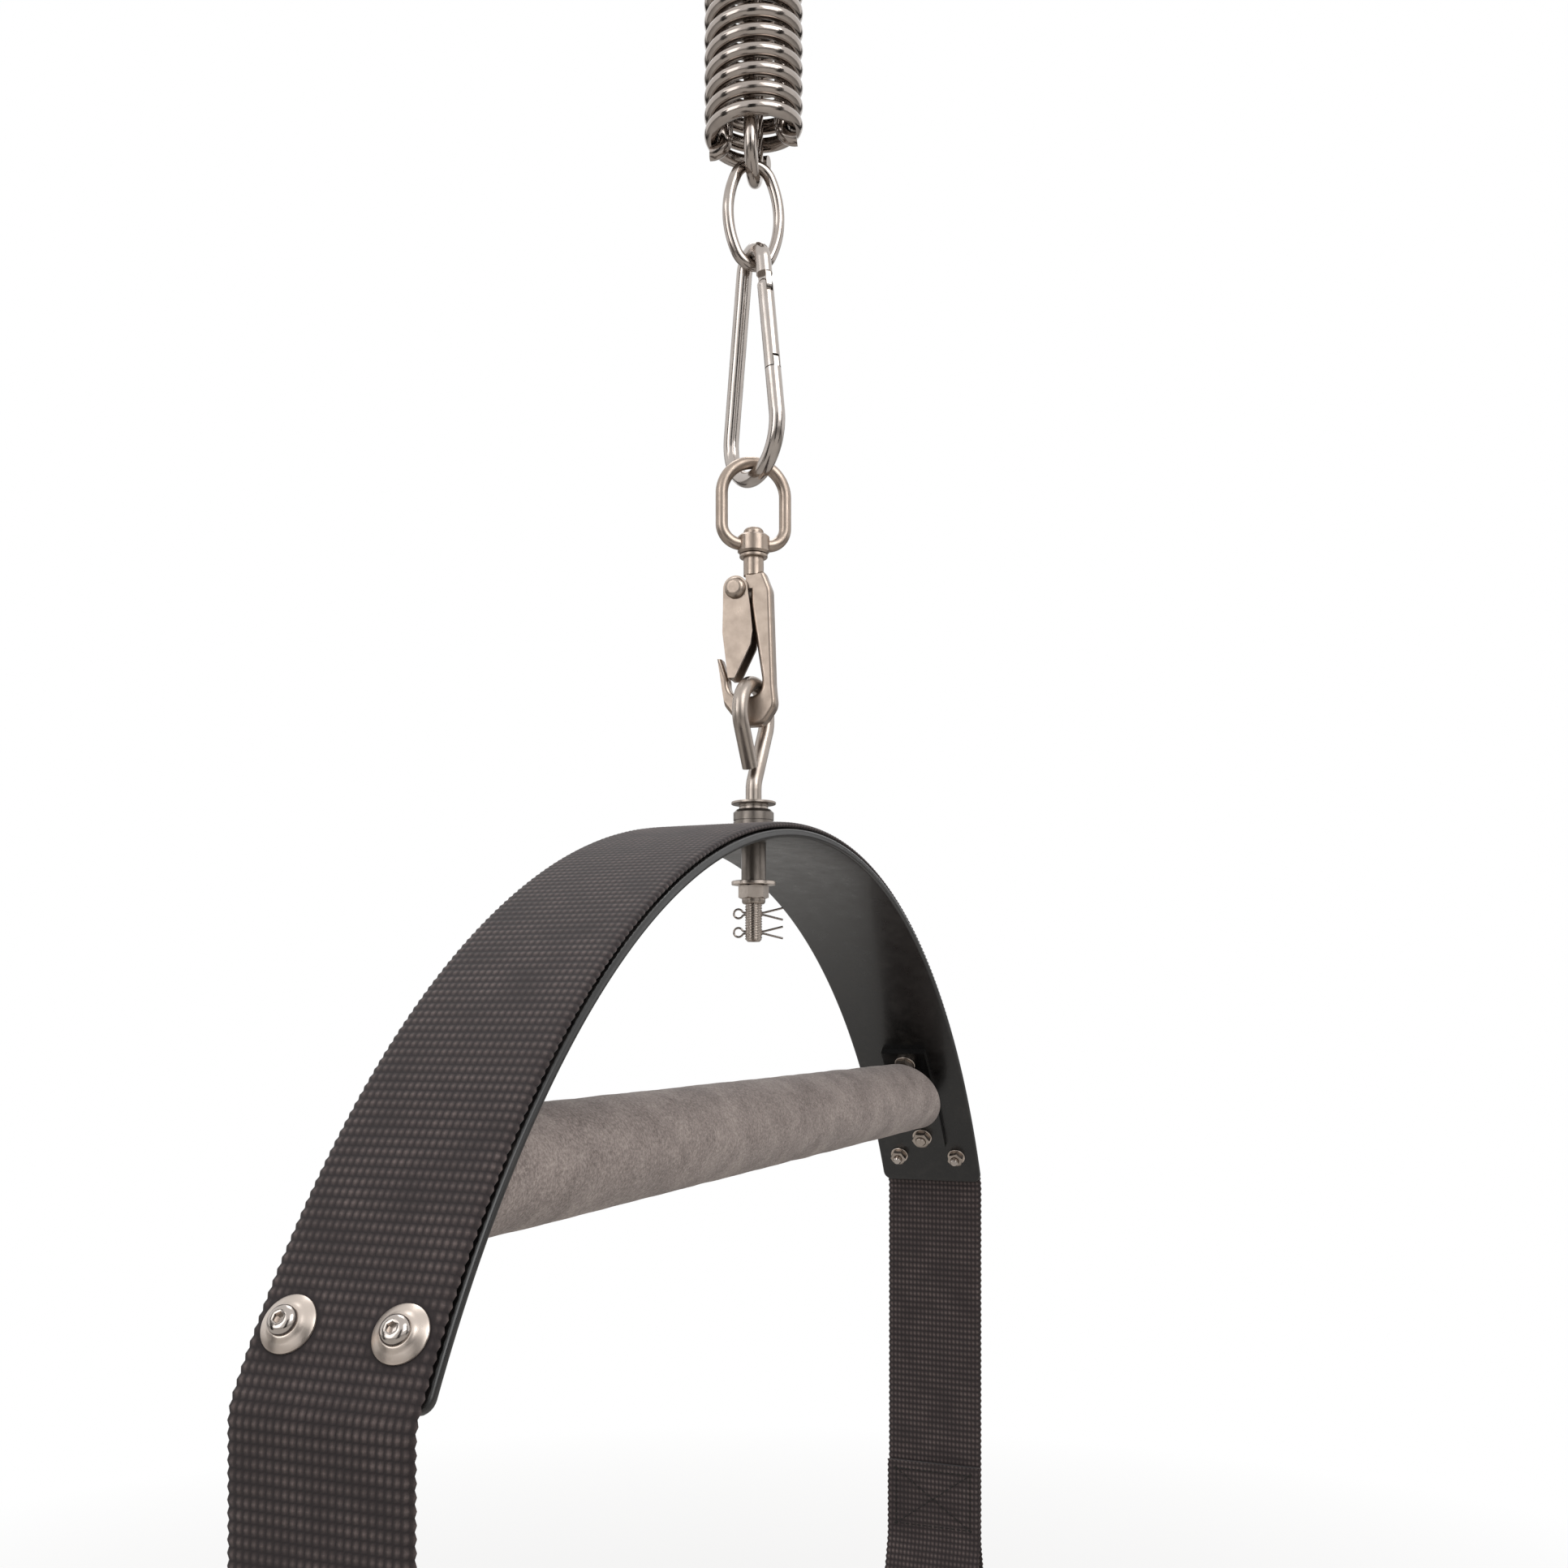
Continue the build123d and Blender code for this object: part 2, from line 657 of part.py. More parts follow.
lever_right = lever_left + lever_width
with BuildPart() as snap_gate:
    with BuildSketch(hook_plane):
        with Locations((pivot_x, -pivot_drop)):
            Circle(lever_ear_radius)
        with BuildLine():
            Polyline(
                (pivot_x - lever_ear_radius, -pivot_drop),
                (pivot_x + lever_ear_radius, -pivot_drop),
                (lever_right - 0.9, -lever_crease_drop + 9),
                (lever_right, -lever_crease_drop),
                (lever_right - 0.8, -lever_crease_drop - 5),
                (lever_end_left + lever_end_width, -lever_drop),
                (lever_end_left, -lever_drop),
                (lever_left, -lever_crease_drop),
                (lever_left + 0.2, -lever_crease_drop + 8),
                close=True,
            )
        make_face()
    extrude(amount=lever_half, both=True)
    with BuildSketch(hook_plane):
        with BuildLine():
            Polyline(
                (pivot_x - lever_ear_radius, 0),
                (2 * lever_right + lever_width, 0),
                (2 * lever_right + lever_width, -lever_drop - 1),
                (lever_end_left + lever_plate, -lever_drop - 1),
                (lever_left + lever_plate, -lever_crease_drop),
                (pivot_x - lever_ear_radius + lever_plate, -pivot_drop - lever_ear_radius),
                (pivot_x - lever_ear_radius, -pivot_drop - lever_ear_radius + 1),
                close=True,
            )
        make_face()
    extrude(amount=hook_depth / 2 + lever_play, both=True, mode=Mode.SUBTRACT)
    with BuildSketch(rivet_plane):
        Circle(rivet_shank / 2 + running_gap)
    extrude(amount=hook_depth, both=True, mode=Mode.SUBTRACT)
finish(snap_gate.part, "snap_gate")

lever_coil_radius = (lever_spring_od - lever_spring_wire) / 2
lever_coil_pitch = lever_spring_wire + running_gap
lever_coil_start = hook_depth / 2 - lever_spring_pocket + lever_spring_wire / 2
with BuildPart() as snap_gate_spring:
    with BuildLine() as lever_spring_route:
        Helix(
            lever_coil_pitch,
            lever_coil_pitch * lever_spring_turns,
            lever_coil_radius,
            center=rivet_plane.offset(lever_coil_start).origin,
            direction=rivet_plane.z_dir,
        )
    with BuildSketch(section_at_start(lever_spring_route)):
        RegularPolygon(lever_spring_wire / 2, spring_wire_sides)
    sweep(is_frenet=True)
finish(snap_gate_spring.part, "snap_gate_spring")

# ================================================================ eye bolt
# One bent rod: shank, neck, teardrop eye, and a cut end that stops against the neck.
neck_height = eye_centre_z - neck_z
lean = asin((eye_radius + eye_neck_radius) / hypot(eye_neck_radius, neck_height)) - atan2(
    eye_neck_radius, neck_height
)
leg_foot = (eye_neck_radius * (1 - cos(lean)), neck_z + eye_neck_radius * sin(lean))
leg_head = (eye_radius * cos(lean), eye_centre_z - eye_radius * sin(lean))
end_x = (eye_wire * cos(lean) ** 2 + eye_end_gap) / (2 * cos(lean))
end_y = leg_foot[1] + (end_x - leg_foot[0]) / tan(lean)
with BuildPart() as eye_bolt:
    with BuildLine(upright(eye_turn)) as eye_route:
        Line((0, bolt_bottom_z), (0, neck_z))
        CenterArc((eye_neck_radius, neck_z), eye_neck_radius, 180, -degrees(lean))
        Line(leg_foot, leg_head)
        CenterArc((0, eye_centre_z), eye_radius, -degrees(lean), 180 + 2 * degrees(lean))
        Line((-leg_head[0], leg_head[1]), (-end_x, end_y))
    with BuildSketch(section_at_start(eye_route)):
        Circle(eye_wire / 2)
    sweep()
    chamfer(eye_bolt.edges().sort_by(Axis.Z)[0], bolt_chamfer)
    for drop in split_pin_drops:
        with BuildSketch(upright(pin_turn + 90, locknut_bottom_z - drop)):
            Circle(split_pin_wire + 2 * running_gap)
        extrude(amount=eye_wire, both=True, mode=Mode.SUBTRACT)
finish(eye_bolt.part, "eye_bolt")

with BuildPart() as head_washers:
    with BuildSketch(Plane.XY.offset(spacer_top_z)):
        Circle(head_washer_width / 2)
        Circle(eye_wire / 2, mode=Mode.SUBTRACT)
    extrude(amount=head_washer_thick)
    with BuildSketch(Plane.XY.offset(spacer_top_z)):
        Circle(head_spacer_width / 2)
        Circle(eye_wire / 2, mode=Mode.SUBTRACT)
    extrude(amount=-head_spacer_thick)
finish(head_washers.part, "head_washers")

with BuildPart() as thrust_washer:
    with BuildSketch(Plane.XY.offset(thrust_top_z)):
        Circle(thrust_washer_width / 2)
        Circle(eye_wire / 2, mode=Mode.SUBTRACT)
    extrude(amount=-thrust_washer_thick)
finish(thrust_washer.part, "thrust_washer")

with BuildPart() as locknut:
    with BuildSketch(Plane.XY.offset(locknut_top_z)):
        RegularPolygon(locknut_flats / 2, 6, major_radius=False)
    extrude(amount=-locknut_height + locknut_collar)
    with BuildSketch(Plane.XY.offset(locknut_bottom_z)):
        Circle(locknut_flats / 2 - 0.6)
    extrude(amount=locknut_collar)
    with BuildSketch(Plane.XY.offset(locknut_top_z)):
        Circle(eye_wire / 2)
    extrude(amount=-locknut_height, mode=Mode.SUBTRACT)
finish(locknut.part, "locknut")

leg_half = split_pin_wire / 2 + running_gap / 2
flare_rise = leg_half + split_pin_eye_flare
eye_reach = sqrt((split_pin_eye_flare + split_pin_eye) ** 2 - flare_rise**2)
flare_turn = degrees(atan2(eye_reach, flare_rise))
flare_x = -eye_wire / 2 - 0.4
splay_x = eye_wire / 2 + 0.6
with BuildPart() as split_pins:
    for drop in split_pin_drops:
        with BuildLine(upright(pin_turn, locknut_bottom_z - drop)) as pin_route:
            CenterArc(
                (splay_x, leg_half + split_pin_bend), split_pin_bend, -90, split_pin_splay
            )
            Line((splay_x, leg_half), (flare_x, leg_half))
            CenterArc(
                (flare_x, leg_half + split_pin_eye_flare), split_pin_eye_flare, -90, -flare_turn
            )
            CenterArc(
                (flare_x - eye_reach, 0),
                split_pin_eye,
                90 - flare_turn,
                180 + 2 * flare_turn,
            )
            CenterArc(
                (flare_x, -leg_half - split_pin_eye_flare), split_pin_eye_flare, 90, flare_turn
            )
            Line((flare_x, -leg_half), (splay_x, -leg_half))
            CenterArc(
                (splay_x, -leg_half - split_pin_bend), split_pin_bend, 90, -split_pin_splay
            )
            tip_x = splay_x + split_pin_bend * sin(radians(split_pin_splay))
            tip_y = leg_half + split_pin_bend * (1 - cos(radians(split_pin_splay)))
            end_rise = tip_y + (split_pin_reach - tip_x) * tan(radians(split_pin_splay))
            Line((tip_x, tip_y), (split_pin_reach, end_rise))
            Line((tip_x, -tip_y), (split_pin_reach, -end_rise))
        pin_path = pin_route.wires()[0]
        with BuildSketch(Plane(origin=pin_path @ 0, z_dir=pin_path % 0)):
            Circle(split_pin_wire / 2)
        sweep(path=pin_path)
finish(split_pins.part, "split_pins")

# ================================================================ bearing bush
with BuildPart() as collar_bush:
    with BuildSketch(Plane.XY.offset(strip_top_z)):
        Circle(bush_width / 2)
    extrude(amount=bush_height)
    chamfer(collar_bush.faces().sort_by(Axis.Z)[-1].edges(), bush_bevel)
    with BuildSketch(Plane.XY.offset(bush_top_z - bush_groove_drop)):
        Circle(bush_width)
        Circle(bush_width / 2 - bush_groove, mode=Mode.SUBTRACT)
    extrude(amount=-bush_groove * 1.5, mode=Mode.SUBTRACT)
    with BuildSketch(Plane.XY.offset(spigot_bottom_z)):
        Circle(bush_spigot_width / 2)
    extrude(amount=strip_top_z - spigot_bottom_z)
    with BuildSketch(Plane.XY.offset(spigot_bottom_z)):
        Circle(eye_wire / 2 + running_gap)
    extrude(amount=bush_top_z - spigot_bottom_z, mode=Mode.SUBTRACT)
finish(collar_bush.part, "collar_bush")


def arc_band(inner, outer, start, end):
    """Face between two circles about the arch's centre, from one angle to another."""
    with BuildSketch(mode=Mode.PRIVATE) as band:
        with BuildLine():
            a, b = 90 - end, end - start
            rim = CenterArc((0, arch_centre_z), outer, a, b)
            hollow = CenterArc((0, arch_centre_z), inner, a, b)
            Line(rim @ 0, hollow @ 0)
            Line(rim @ 1, hollow @ 1)
        make_face()
    return band.sketch


# ================================================================ arch
strap_bolt_planes = [
    arch_plane(side * strap_bolt_angle, across * strap_bolt_pitch / 2, webbing_outer)
    for side in (-1, 1)
    for across in (-1, 1)
]
bar_screw_planes = [
    arch_plane(side * angle, 0, strip_outer) for side in (-1, 1) for angle in screw_angles
]
countersink_depth = (bar_screw_head - bar_screw_shank) / 2
with BuildPart() as arch_strip:
    with BuildSketch(Plane.XZ):
        add(arc_band(arch_radius, strip_outer, -arch_half_angle, arch_half_angle))
    extrude(amount=strip_width / 2, both=True)
    end_corners = arch_strip.edges().filter_by(lambda e: abs(e.length - strip_thick) < 1e-4)
    fillet(end_corners, strip_corner)
    with Locations((0, 0, strip_top_z)):
        Cylinder(bush_spigot_width / 2, 4 * strip_thick, mode=Mode.SUBTRACT)
    with Locations(strap_bolt_planes):
        Cylinder(strap_bolt_hole / 2, 8 * strip_thick, mode=Mode.SUBTRACT)
    with Locations(bar_screw_planes):
        CounterSinkHole(bar_screw_hole / 2, bar_screw_head / 2, 4 * strip_thick, 90)
finish(arch_strip.part, "arch_strip")

with BuildPart() as arch_webbing:
    with BuildSketch(Plane.XZ):
        add(arc_band(strip_outer, webbing_outer, -arch_half_angle, arch_half_angle))
    extrude(amount=webbing_width / 2, both=True)
    with Locations((0, 0, strip_top_z)):
        Cylinder(bush_width / 2 + cloth_gap, 8 * webbing_thick, mode=Mode.SUBTRACT)
    with Locations(strap_bolt_planes):
        Cylinder(strap_bolt_hole / 2, 4 * webbing_thick, mode=Mode.SUBTRACT)
finish(arch_webbing.part, "arch_webbing")

# ================================================================ strap bolts
washer_z = -sqrt(arch_radius**2 - (strap_washer_width / 2) ** 2) + webbing_outer
head_z = cup_washer_rise + cup_washer_thick
with BuildPart() as cup_washers:
    with Locations(strap_bolt_planes):
        Cone(
            cup_washer_width / 2,
            strap_head_width / 2,
            head_z,
            align=(Align.CENTER, Align.CENTER, Align.MIN),
        )
        Cylinder(strap_bolt_hole / 2, 8 * cup_washer_thick, mode=Mode.SUBTRACT)
finish(cup_washers.part, "cup_washers")

with BuildPart() as strap_washers:
    with Locations([plane.offset(-washer_z) for plane in strap_bolt_planes]):
        Cylinder(
            strap_washer_width / 2,
            strap_washer_thick,
            align=(Align.CENTER, Align.CENTER, Align.MAX),
        )
        Cylinder(strap_bolt_hole / 2, 8 * strap_washer_thick, mode=Mode.SUBTRACT)
finish(strap_washers.part, "strap_washers")

with BuildPart() as strap_nuts:
    with BuildSketch(*[plane.offset(-washer_z - strap_washer_thick) for plane in strap_bolt_planes]):
        RegularPolygon(strap_nut_flats / 2, 6, major_radius=False)
        Circle(strap_bolt_shank / 2, mode=Mode.SUBTRACT)
    extrude(amount=-strap_nut_height)
finish(strap_nuts.part, "strap_nuts")

strap_bolt_end = washer_z + strap_washer_thick + strap_nut_height + strap_bolt_tail
with BuildPart() as strap_bolts:
    with BuildSketch(*[plane.offset(head_z) for plane in strap_bolt_planes]):
        Circle(strap_head_width / 2)
    extrude(amount=strap_head_height)
    head_rims = strap_bolts.edges().filter_by(GeomType.CIRCLE)
    fillet(head_rims.filter_by(lambda e: arch_distance(e) > webbing_outer + head_z + 1), 1.2)
    with BuildSketch(*[plane.offset(head_z + strap_head_height) for plane in strap_bolt_planes]):
        RegularPolygon(strap_socket / 2, 6, major_radius=False)
    extrude(amount=-strap_socket_depth, mode=Mode.SUBTRACT)
    with BuildSketch(*[plane.offset(head_z) for plane in strap_bolt_planes]):
        Circle(strap_bolt_shank / 2)
    extrude(amount=-head_z - strap_bolt_end)
finish(strap_bolts.part, "strap_bolts")

# ================================================================ grab bar
with BuildPart() as bar_frame:
    with BuildSketch(Plane.YZ.offset(-arch_radius)):
        with Locations((0, bar_z)):
            Circle(bar_tube_od / 2)
            Circle(bar_tube_od / 2 - bar_tube_wall, mode=Mode.SUBTRACT)
    extrude(amount=2 * arch_radius)
    with BuildSketch(Plane.XZ):
        with Locations((0, arch_centre_z)):
            Circle(plate_inner)
    extrude(amount=bar_tube_od, both=True, mode=Mode.INTERSECT)
    with BuildSketch(Plane.XZ):
        for side in (-1, 1):
            low, high = sorted((side * (bar_angle - plate_step), side * (bar_angle + plate_step)))
            add(arc_band(plate_inner, arch_radius, low, high))
    extrude(amount=end_plate_width / 2, both=True)
    with Locations(bar_screw_planes):
        Cylinder(bar_screw_hole / 2, 8 * end_plate_thick, mode=Mode.SUBTRACT)
finish(bar_frame.part, "bar_frame")

with BuildPart() as foam_sleeve:
    with BuildSketch(Plane.YZ.offset(-arch_radius)):
        with Locations((0, bar_z)):
            Circle(foam_od / 2)
            Circle(bar_tube_od / 2, mode=Mode.SUBTRACT)
    extrude(amount=2 * arch_radius)
    with BuildSketch(Plane.XZ):
        with Locations((0, arch_centre_z)):
            Circle(arch_radius - foam_setback)
    extrude(amount=foam_od, both=True, mode=Mode.INTERSECT)
finish(foam_sleeve.part, "foam_sleeve")

bar_washer_drop = strip_outer - sqrt(plate_inner**2 - (bar_washer_width / 2) ** 2)
bar_nut_drop = bar_washer_drop + bar_washer_thick
with BuildPart() as bar_screws:
    with Locations([plane.offset(-bar_screw_sink) for plane in bar_screw_planes]):
        Cone(
            bar_screw_shank / 2,
            bar_screw_head / 2 - bar_screw_sink,
            countersink_depth - bar_screw_sink,
            align=(Align.CENTER, Align.CENTER, Align.MAX),
        )
        Cylinder(
            bar_screw_shank / 2,
            bar_nut_drop + bar_nut_height + bar_screw_tail - bar_screw_sink,
            align=(Align.CENTER, Align.CENTER, Align.MAX),
        )
finish(bar_screws.part, "bar_screws")

with BuildPart() as bar_washers:
    with Locations([plane.offset(-bar_washer_drop) for plane in bar_screw_planes]):
        Cylinder(
            bar_washer_width / 2,
            bar_washer_thick,
            align=(Align.CENTER, Align.CENTER, Align.MAX),
        )
        Cylinder(bar_screw_hole / 2, 8 * bar_washer_thick, mode=Mode.SUBTRACT)
finish(bar_washers.part, "bar_washers")

with BuildPart() as bar_nuts:
    with BuildSketch(*[plane.offset(-bar_nut_drop) for plane in bar_screw_planes]):
        RegularPolygon(bar_nut_flats / 2, 6, major_radius=False)
        Circle(bar_screw_shank / 2, mode=Mode.SUBTRACT)
    extrude(amount=-bar_nut_height)
finish(bar_nuts.part, "bar_nuts")

# ================================================================ strap tails
# Each strap hangs from the arch's end and is turned up and sewn into a loop.
loop_turn = radians(tail_loop_flare)
loop_radius = (tail_loop_width + webbing_thick) / 2
half_lap = webbing_thick / 2 - tail_lap_press
flare_out = half_lap + tail_loop_flare_radius * (1 - cos(loop_turn))
flare_down = tail_loop_flare_radius * sin(loop_turn)
side_run = (loop_radius * cos(loop_turn) - flare_out) / sin(loop_turn)
loop_drop = flare_down + side_run * cos(loop_turn) + loop_radius * sin(loop_turn)
lap_top_z = bend_z - tail_lap_top
lap_bottom_z = lap_top_z - tail_lap
loop_z = lap_bottom_z - loop_drop


def strap_profile(side):
    """Strap's edge outline on the XZ plane, for one end of the arch."""
    middle = side * (bend_x - half_lap)
    with BuildSketch(mode=Mode.PRIVATE) as profile:
        for lean in (-1, 1):
            layer_x = middle + lean * half_lap
            layer_top = bend_z if lean == side else lap_top_z
            flare_x = middle + lean * flare_out
            flare_z = lap_bottom_z - flare_down
            start = 180 if lean > 0 else 0
            with BuildLine():
                Line((layer_x, layer_top), (layer_x, lap_bottom_z))
                CenterArc(
                    (layer_x + lean * tail_loop_flare_radius, lap_bottom_z),
                    tail_loop_flare_radius,
                    start,
                    lean * tail_loop_flare,
                )
                Line(
                    (flare_x, flare_z),
                    (
                        flare_x + lean * side_run * sin(loop_turn),
                        flare_z - side_run * cos(loop_turn),
                    ),
                )
                CenterArc(
                    (middle, loop_z),
                    loop_radius,
                    180 - start + lean * tail_loop_flare,
                    -lean * (90 + tail_loop_flare),
                )
            trace(line_width=webbing_thick)
        with Locations((side * bend_x, bend_z)):
            Circle(webbing_thick / 2)
    return profile.sketch


with BuildPart() as strap_left:
    with BuildSketch(Plane.XZ):
        add(strap_profile(-1))
    extrude(amount=webbing_width / 2, both=True)
finish(strap_left.part, "strap_left")

with BuildPart() as strap_right:
    with BuildSketch(Plane.XZ):
        add(strap_profile(1))
    extrude(amount=webbing_width / 2, both=True)
finish(strap_right.part, "strap_right")
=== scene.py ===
"""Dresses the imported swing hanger: woven straps, foam, hardware, finishes, light and view.

Lengths are in metres. The frame's origin is the centre of the hanging loop, with Z up and
the arch along X.
"""

import logging
from dataclasses import dataclass, field
from enum import Enum
from functools import cached_property
from math import acos, atan2, cos, hypot, pi, radians, sin, sqrt
from typing import Callable, Iterable, Sequence

import bmesh
import bpy
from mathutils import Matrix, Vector, noise


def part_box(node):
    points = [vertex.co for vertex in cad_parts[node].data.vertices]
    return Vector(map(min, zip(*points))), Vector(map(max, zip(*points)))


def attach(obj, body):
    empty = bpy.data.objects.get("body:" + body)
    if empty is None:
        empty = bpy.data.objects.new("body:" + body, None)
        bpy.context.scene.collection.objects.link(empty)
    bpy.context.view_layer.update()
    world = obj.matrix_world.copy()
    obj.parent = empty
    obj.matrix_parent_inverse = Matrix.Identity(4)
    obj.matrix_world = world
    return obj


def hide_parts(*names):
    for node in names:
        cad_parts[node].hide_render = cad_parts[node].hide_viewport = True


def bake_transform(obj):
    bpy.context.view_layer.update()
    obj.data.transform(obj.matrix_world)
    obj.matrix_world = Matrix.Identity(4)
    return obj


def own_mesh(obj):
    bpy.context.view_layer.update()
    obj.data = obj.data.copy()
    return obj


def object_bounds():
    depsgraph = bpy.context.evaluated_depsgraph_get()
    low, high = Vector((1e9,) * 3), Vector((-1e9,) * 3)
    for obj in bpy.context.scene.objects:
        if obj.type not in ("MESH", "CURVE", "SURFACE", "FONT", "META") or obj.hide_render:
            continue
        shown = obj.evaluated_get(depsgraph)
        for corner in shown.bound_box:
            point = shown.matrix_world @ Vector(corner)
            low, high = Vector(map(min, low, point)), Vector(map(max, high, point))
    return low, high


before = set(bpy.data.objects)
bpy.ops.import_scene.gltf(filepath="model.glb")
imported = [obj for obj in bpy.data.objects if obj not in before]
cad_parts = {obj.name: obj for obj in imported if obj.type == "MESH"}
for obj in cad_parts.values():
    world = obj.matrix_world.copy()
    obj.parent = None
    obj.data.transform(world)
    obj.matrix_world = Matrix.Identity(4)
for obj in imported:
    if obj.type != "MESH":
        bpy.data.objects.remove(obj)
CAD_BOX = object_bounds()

log = logging.getLogger("hanger")
MM = 0.001
WEBBING_GAP = 0.03 * MM  # keeps the webbing off what it lies on
SMOOTH_ANGLE = radians(38)  # edges sharper than this stay crisp


class Side(Enum):
    """The two ends of the arch."""

    LEFT = -1
    RIGHT = 1

    @property
    def body(self) -> str:
        """Body that the strap at this end rides on."""
        return "left_strap" if self is Side.LEFT else "right_strap"

    @property
    def node(self) -> str:
        """CAD node of the strap at this end."""
        return "strap_left" if self is Side.LEFT else "strap_right"


# ---------------------------------------------------------------- node trees
def add_node(
    tree: bpy.types.NodeTree,
    kind: str,
    inputs: dict | None = None,
    **settings: object,
) -> bpy.types.Node:
    """Adds a node with its settings, and fills or links its inputs.

    Args:
        tree: the node tree that gets the node.
        kind: the node's type.
        inputs: a value or an output socket for each input, by name or number.
        settings: the node's own properties.

    Returns:
        The new node.
    """
    node = tree.nodes.new(kind)
    for key, value in settings.items():
        setattr(node, key, value)
    for key, value in (inputs or {}).items():
        if isinstance(value, bpy.types.NodeSocket):
            tree.links.new(value, node.inputs[key])
        else:
            node.inputs[key].default_value = value
    return node


def new_growth(name: str, sockets: dict[str, str]) -> tuple[bpy.types.NodeTree, bpy.types.Node]:
    """Starts a geometry tree with named inputs.

    Args:
        name: the tree's name.
        sockets: each input's name, and the type of its socket.

    Returns:
        The tree and its group input node.
    """
    tree = bpy.data.node_groups.new(name, "GeometryNodeTree")
    tree.interface.new_socket("Geometry", in_out="INPUT", socket_type="NodeSocketGeometry")
    tree.interface.new_socket("Geometry", in_out="OUTPUT", socket_type="NodeSocketGeometry")
    for label, kind in sockets.items():
        tree.interface.new_socket(label, in_out="INPUT", socket_type=kind)
    return tree, add_node(tree, "NodeGroupInput")


def end_growth(
    tree: bpy.types.NodeTree, shape: bpy.types.NodeSocket, material: bpy.types.NodeSocket
) -> bpy.types.NodeTree:
    """Ends a geometry tree in Realize Instances and Set Material.

    Args:
        tree: the tree to end.
        shape: the geometry made so far.
        material: the tree's material input.

    Returns:
        The same tree.
    """
    smooth = add_node(tree, "GeometryNodeSetShadeSmooth", {"Geometry": shape})
    real = add_node(tree, "GeometryNodeRealizeInstances", {"Geometry": smooth.outputs[0]})
    dressed = add_node(
        tree,
        "GeometryNodeSetMaterial",
        {"Geometry": real.outputs[0], "Material": material},
    )
    add_node(tree, "NodeGroupOutput", {0: dressed.outputs[0]})
    return tree


def grow(piece: bpy.types.Object, tree: bpy.types.NodeTree, values: dict) -> bpy.types.Object:
    """Runs a geometry tree on an object and keeps the result as its plain mesh.

    Args:
        piece: the object that holds the tree's starting geometry.
        tree: the tree.
        values: the tree's inputs, by name.

    Returns:
        The same object.
    """
    modifier = piece.modifiers.new("growth", "NODES")
    modifier.node_group = tree
    for item in tree.interface.items_tree:
        if item.item_type == "SOCKET" and item.in_out == "INPUT" and item.name in values:
            modifier[item.identifier] = values[item.name]
    return settle(piece)


def settle(piece: bpy.types.Object) -> bpy.types.Object:
    """Keeps an object's modified shape as its plain mesh and takes its modifiers off.

    Args:
        piece: the object.

    Returns:
        The same object.
    """
    bpy.context.view_layer.update()
    shape = piece.evaluated_get(bpy.context.evaluated_depsgraph_get())
    mesh = bpy.data.meshes.new_from_object(shape)
    mesh.name = piece.name
    piece.modifiers.clear()
    piece.data = mesh
    return piece


def coiled_wire_tree() -> bpy.types.NodeTree:
    """Tree for wire wound round Z, a spring's coil or a bolt's thread.

    Returns:
        The tree.
    """
    tree, given = new_growth(
        "coiled_wire",
        {
            "Turns": "NodeSocketFloat",
            "Radius": "NodeSocketFloat",
            "Height": "NodeSocketFloat",
            "Wire Radius": "NodeSocketFloat",
            "Steps": "NodeSocketInt",
            "Sides": "NodeSocketInt",
            "Foot": "NodeSocketVector",
            "Material": "NodeSocketMaterial",
        },
    )
    spiral = add_node(
        tree,
        "GeometryNodeCurveSpiral",
        {
            "Resolution": given.outputs["Steps"],
            "Rotations": given.outputs["Turns"],
            "Start Radius": given.outputs["Radius"],
            "End Radius": given.outputs["Radius"],
            "Height": given.outputs["Height"],
            "Reverse": True,
        },
    )
    level = add_node(
        tree, "GeometryNodeSetCurveNormal", {"Curve": spiral.outputs[0]}, mode="Z_UP"
    )
    section = add_node(
        tree,
        "GeometryNodeCurvePrimitiveCircle",
        {"Resolution": given.outputs["Sides"], "Radius": given.outputs["Wire Radius"]},
    )
    wire = add_node(
        tree,
        "GeometryNodeCurveToMesh",
        {"Curve": level.outputs[0], "Profile Curve": section.outputs[0], "Fill Caps": True},
    )
    placed = add_node(
        tree,
        "GeometryNodeTransform",
        {"Geometry": wire.outputs[0], "Translation": given.outputs["Foot"]},
    )
    return end_growth(tree, placed.outputs[0], given.outputs["Material"])


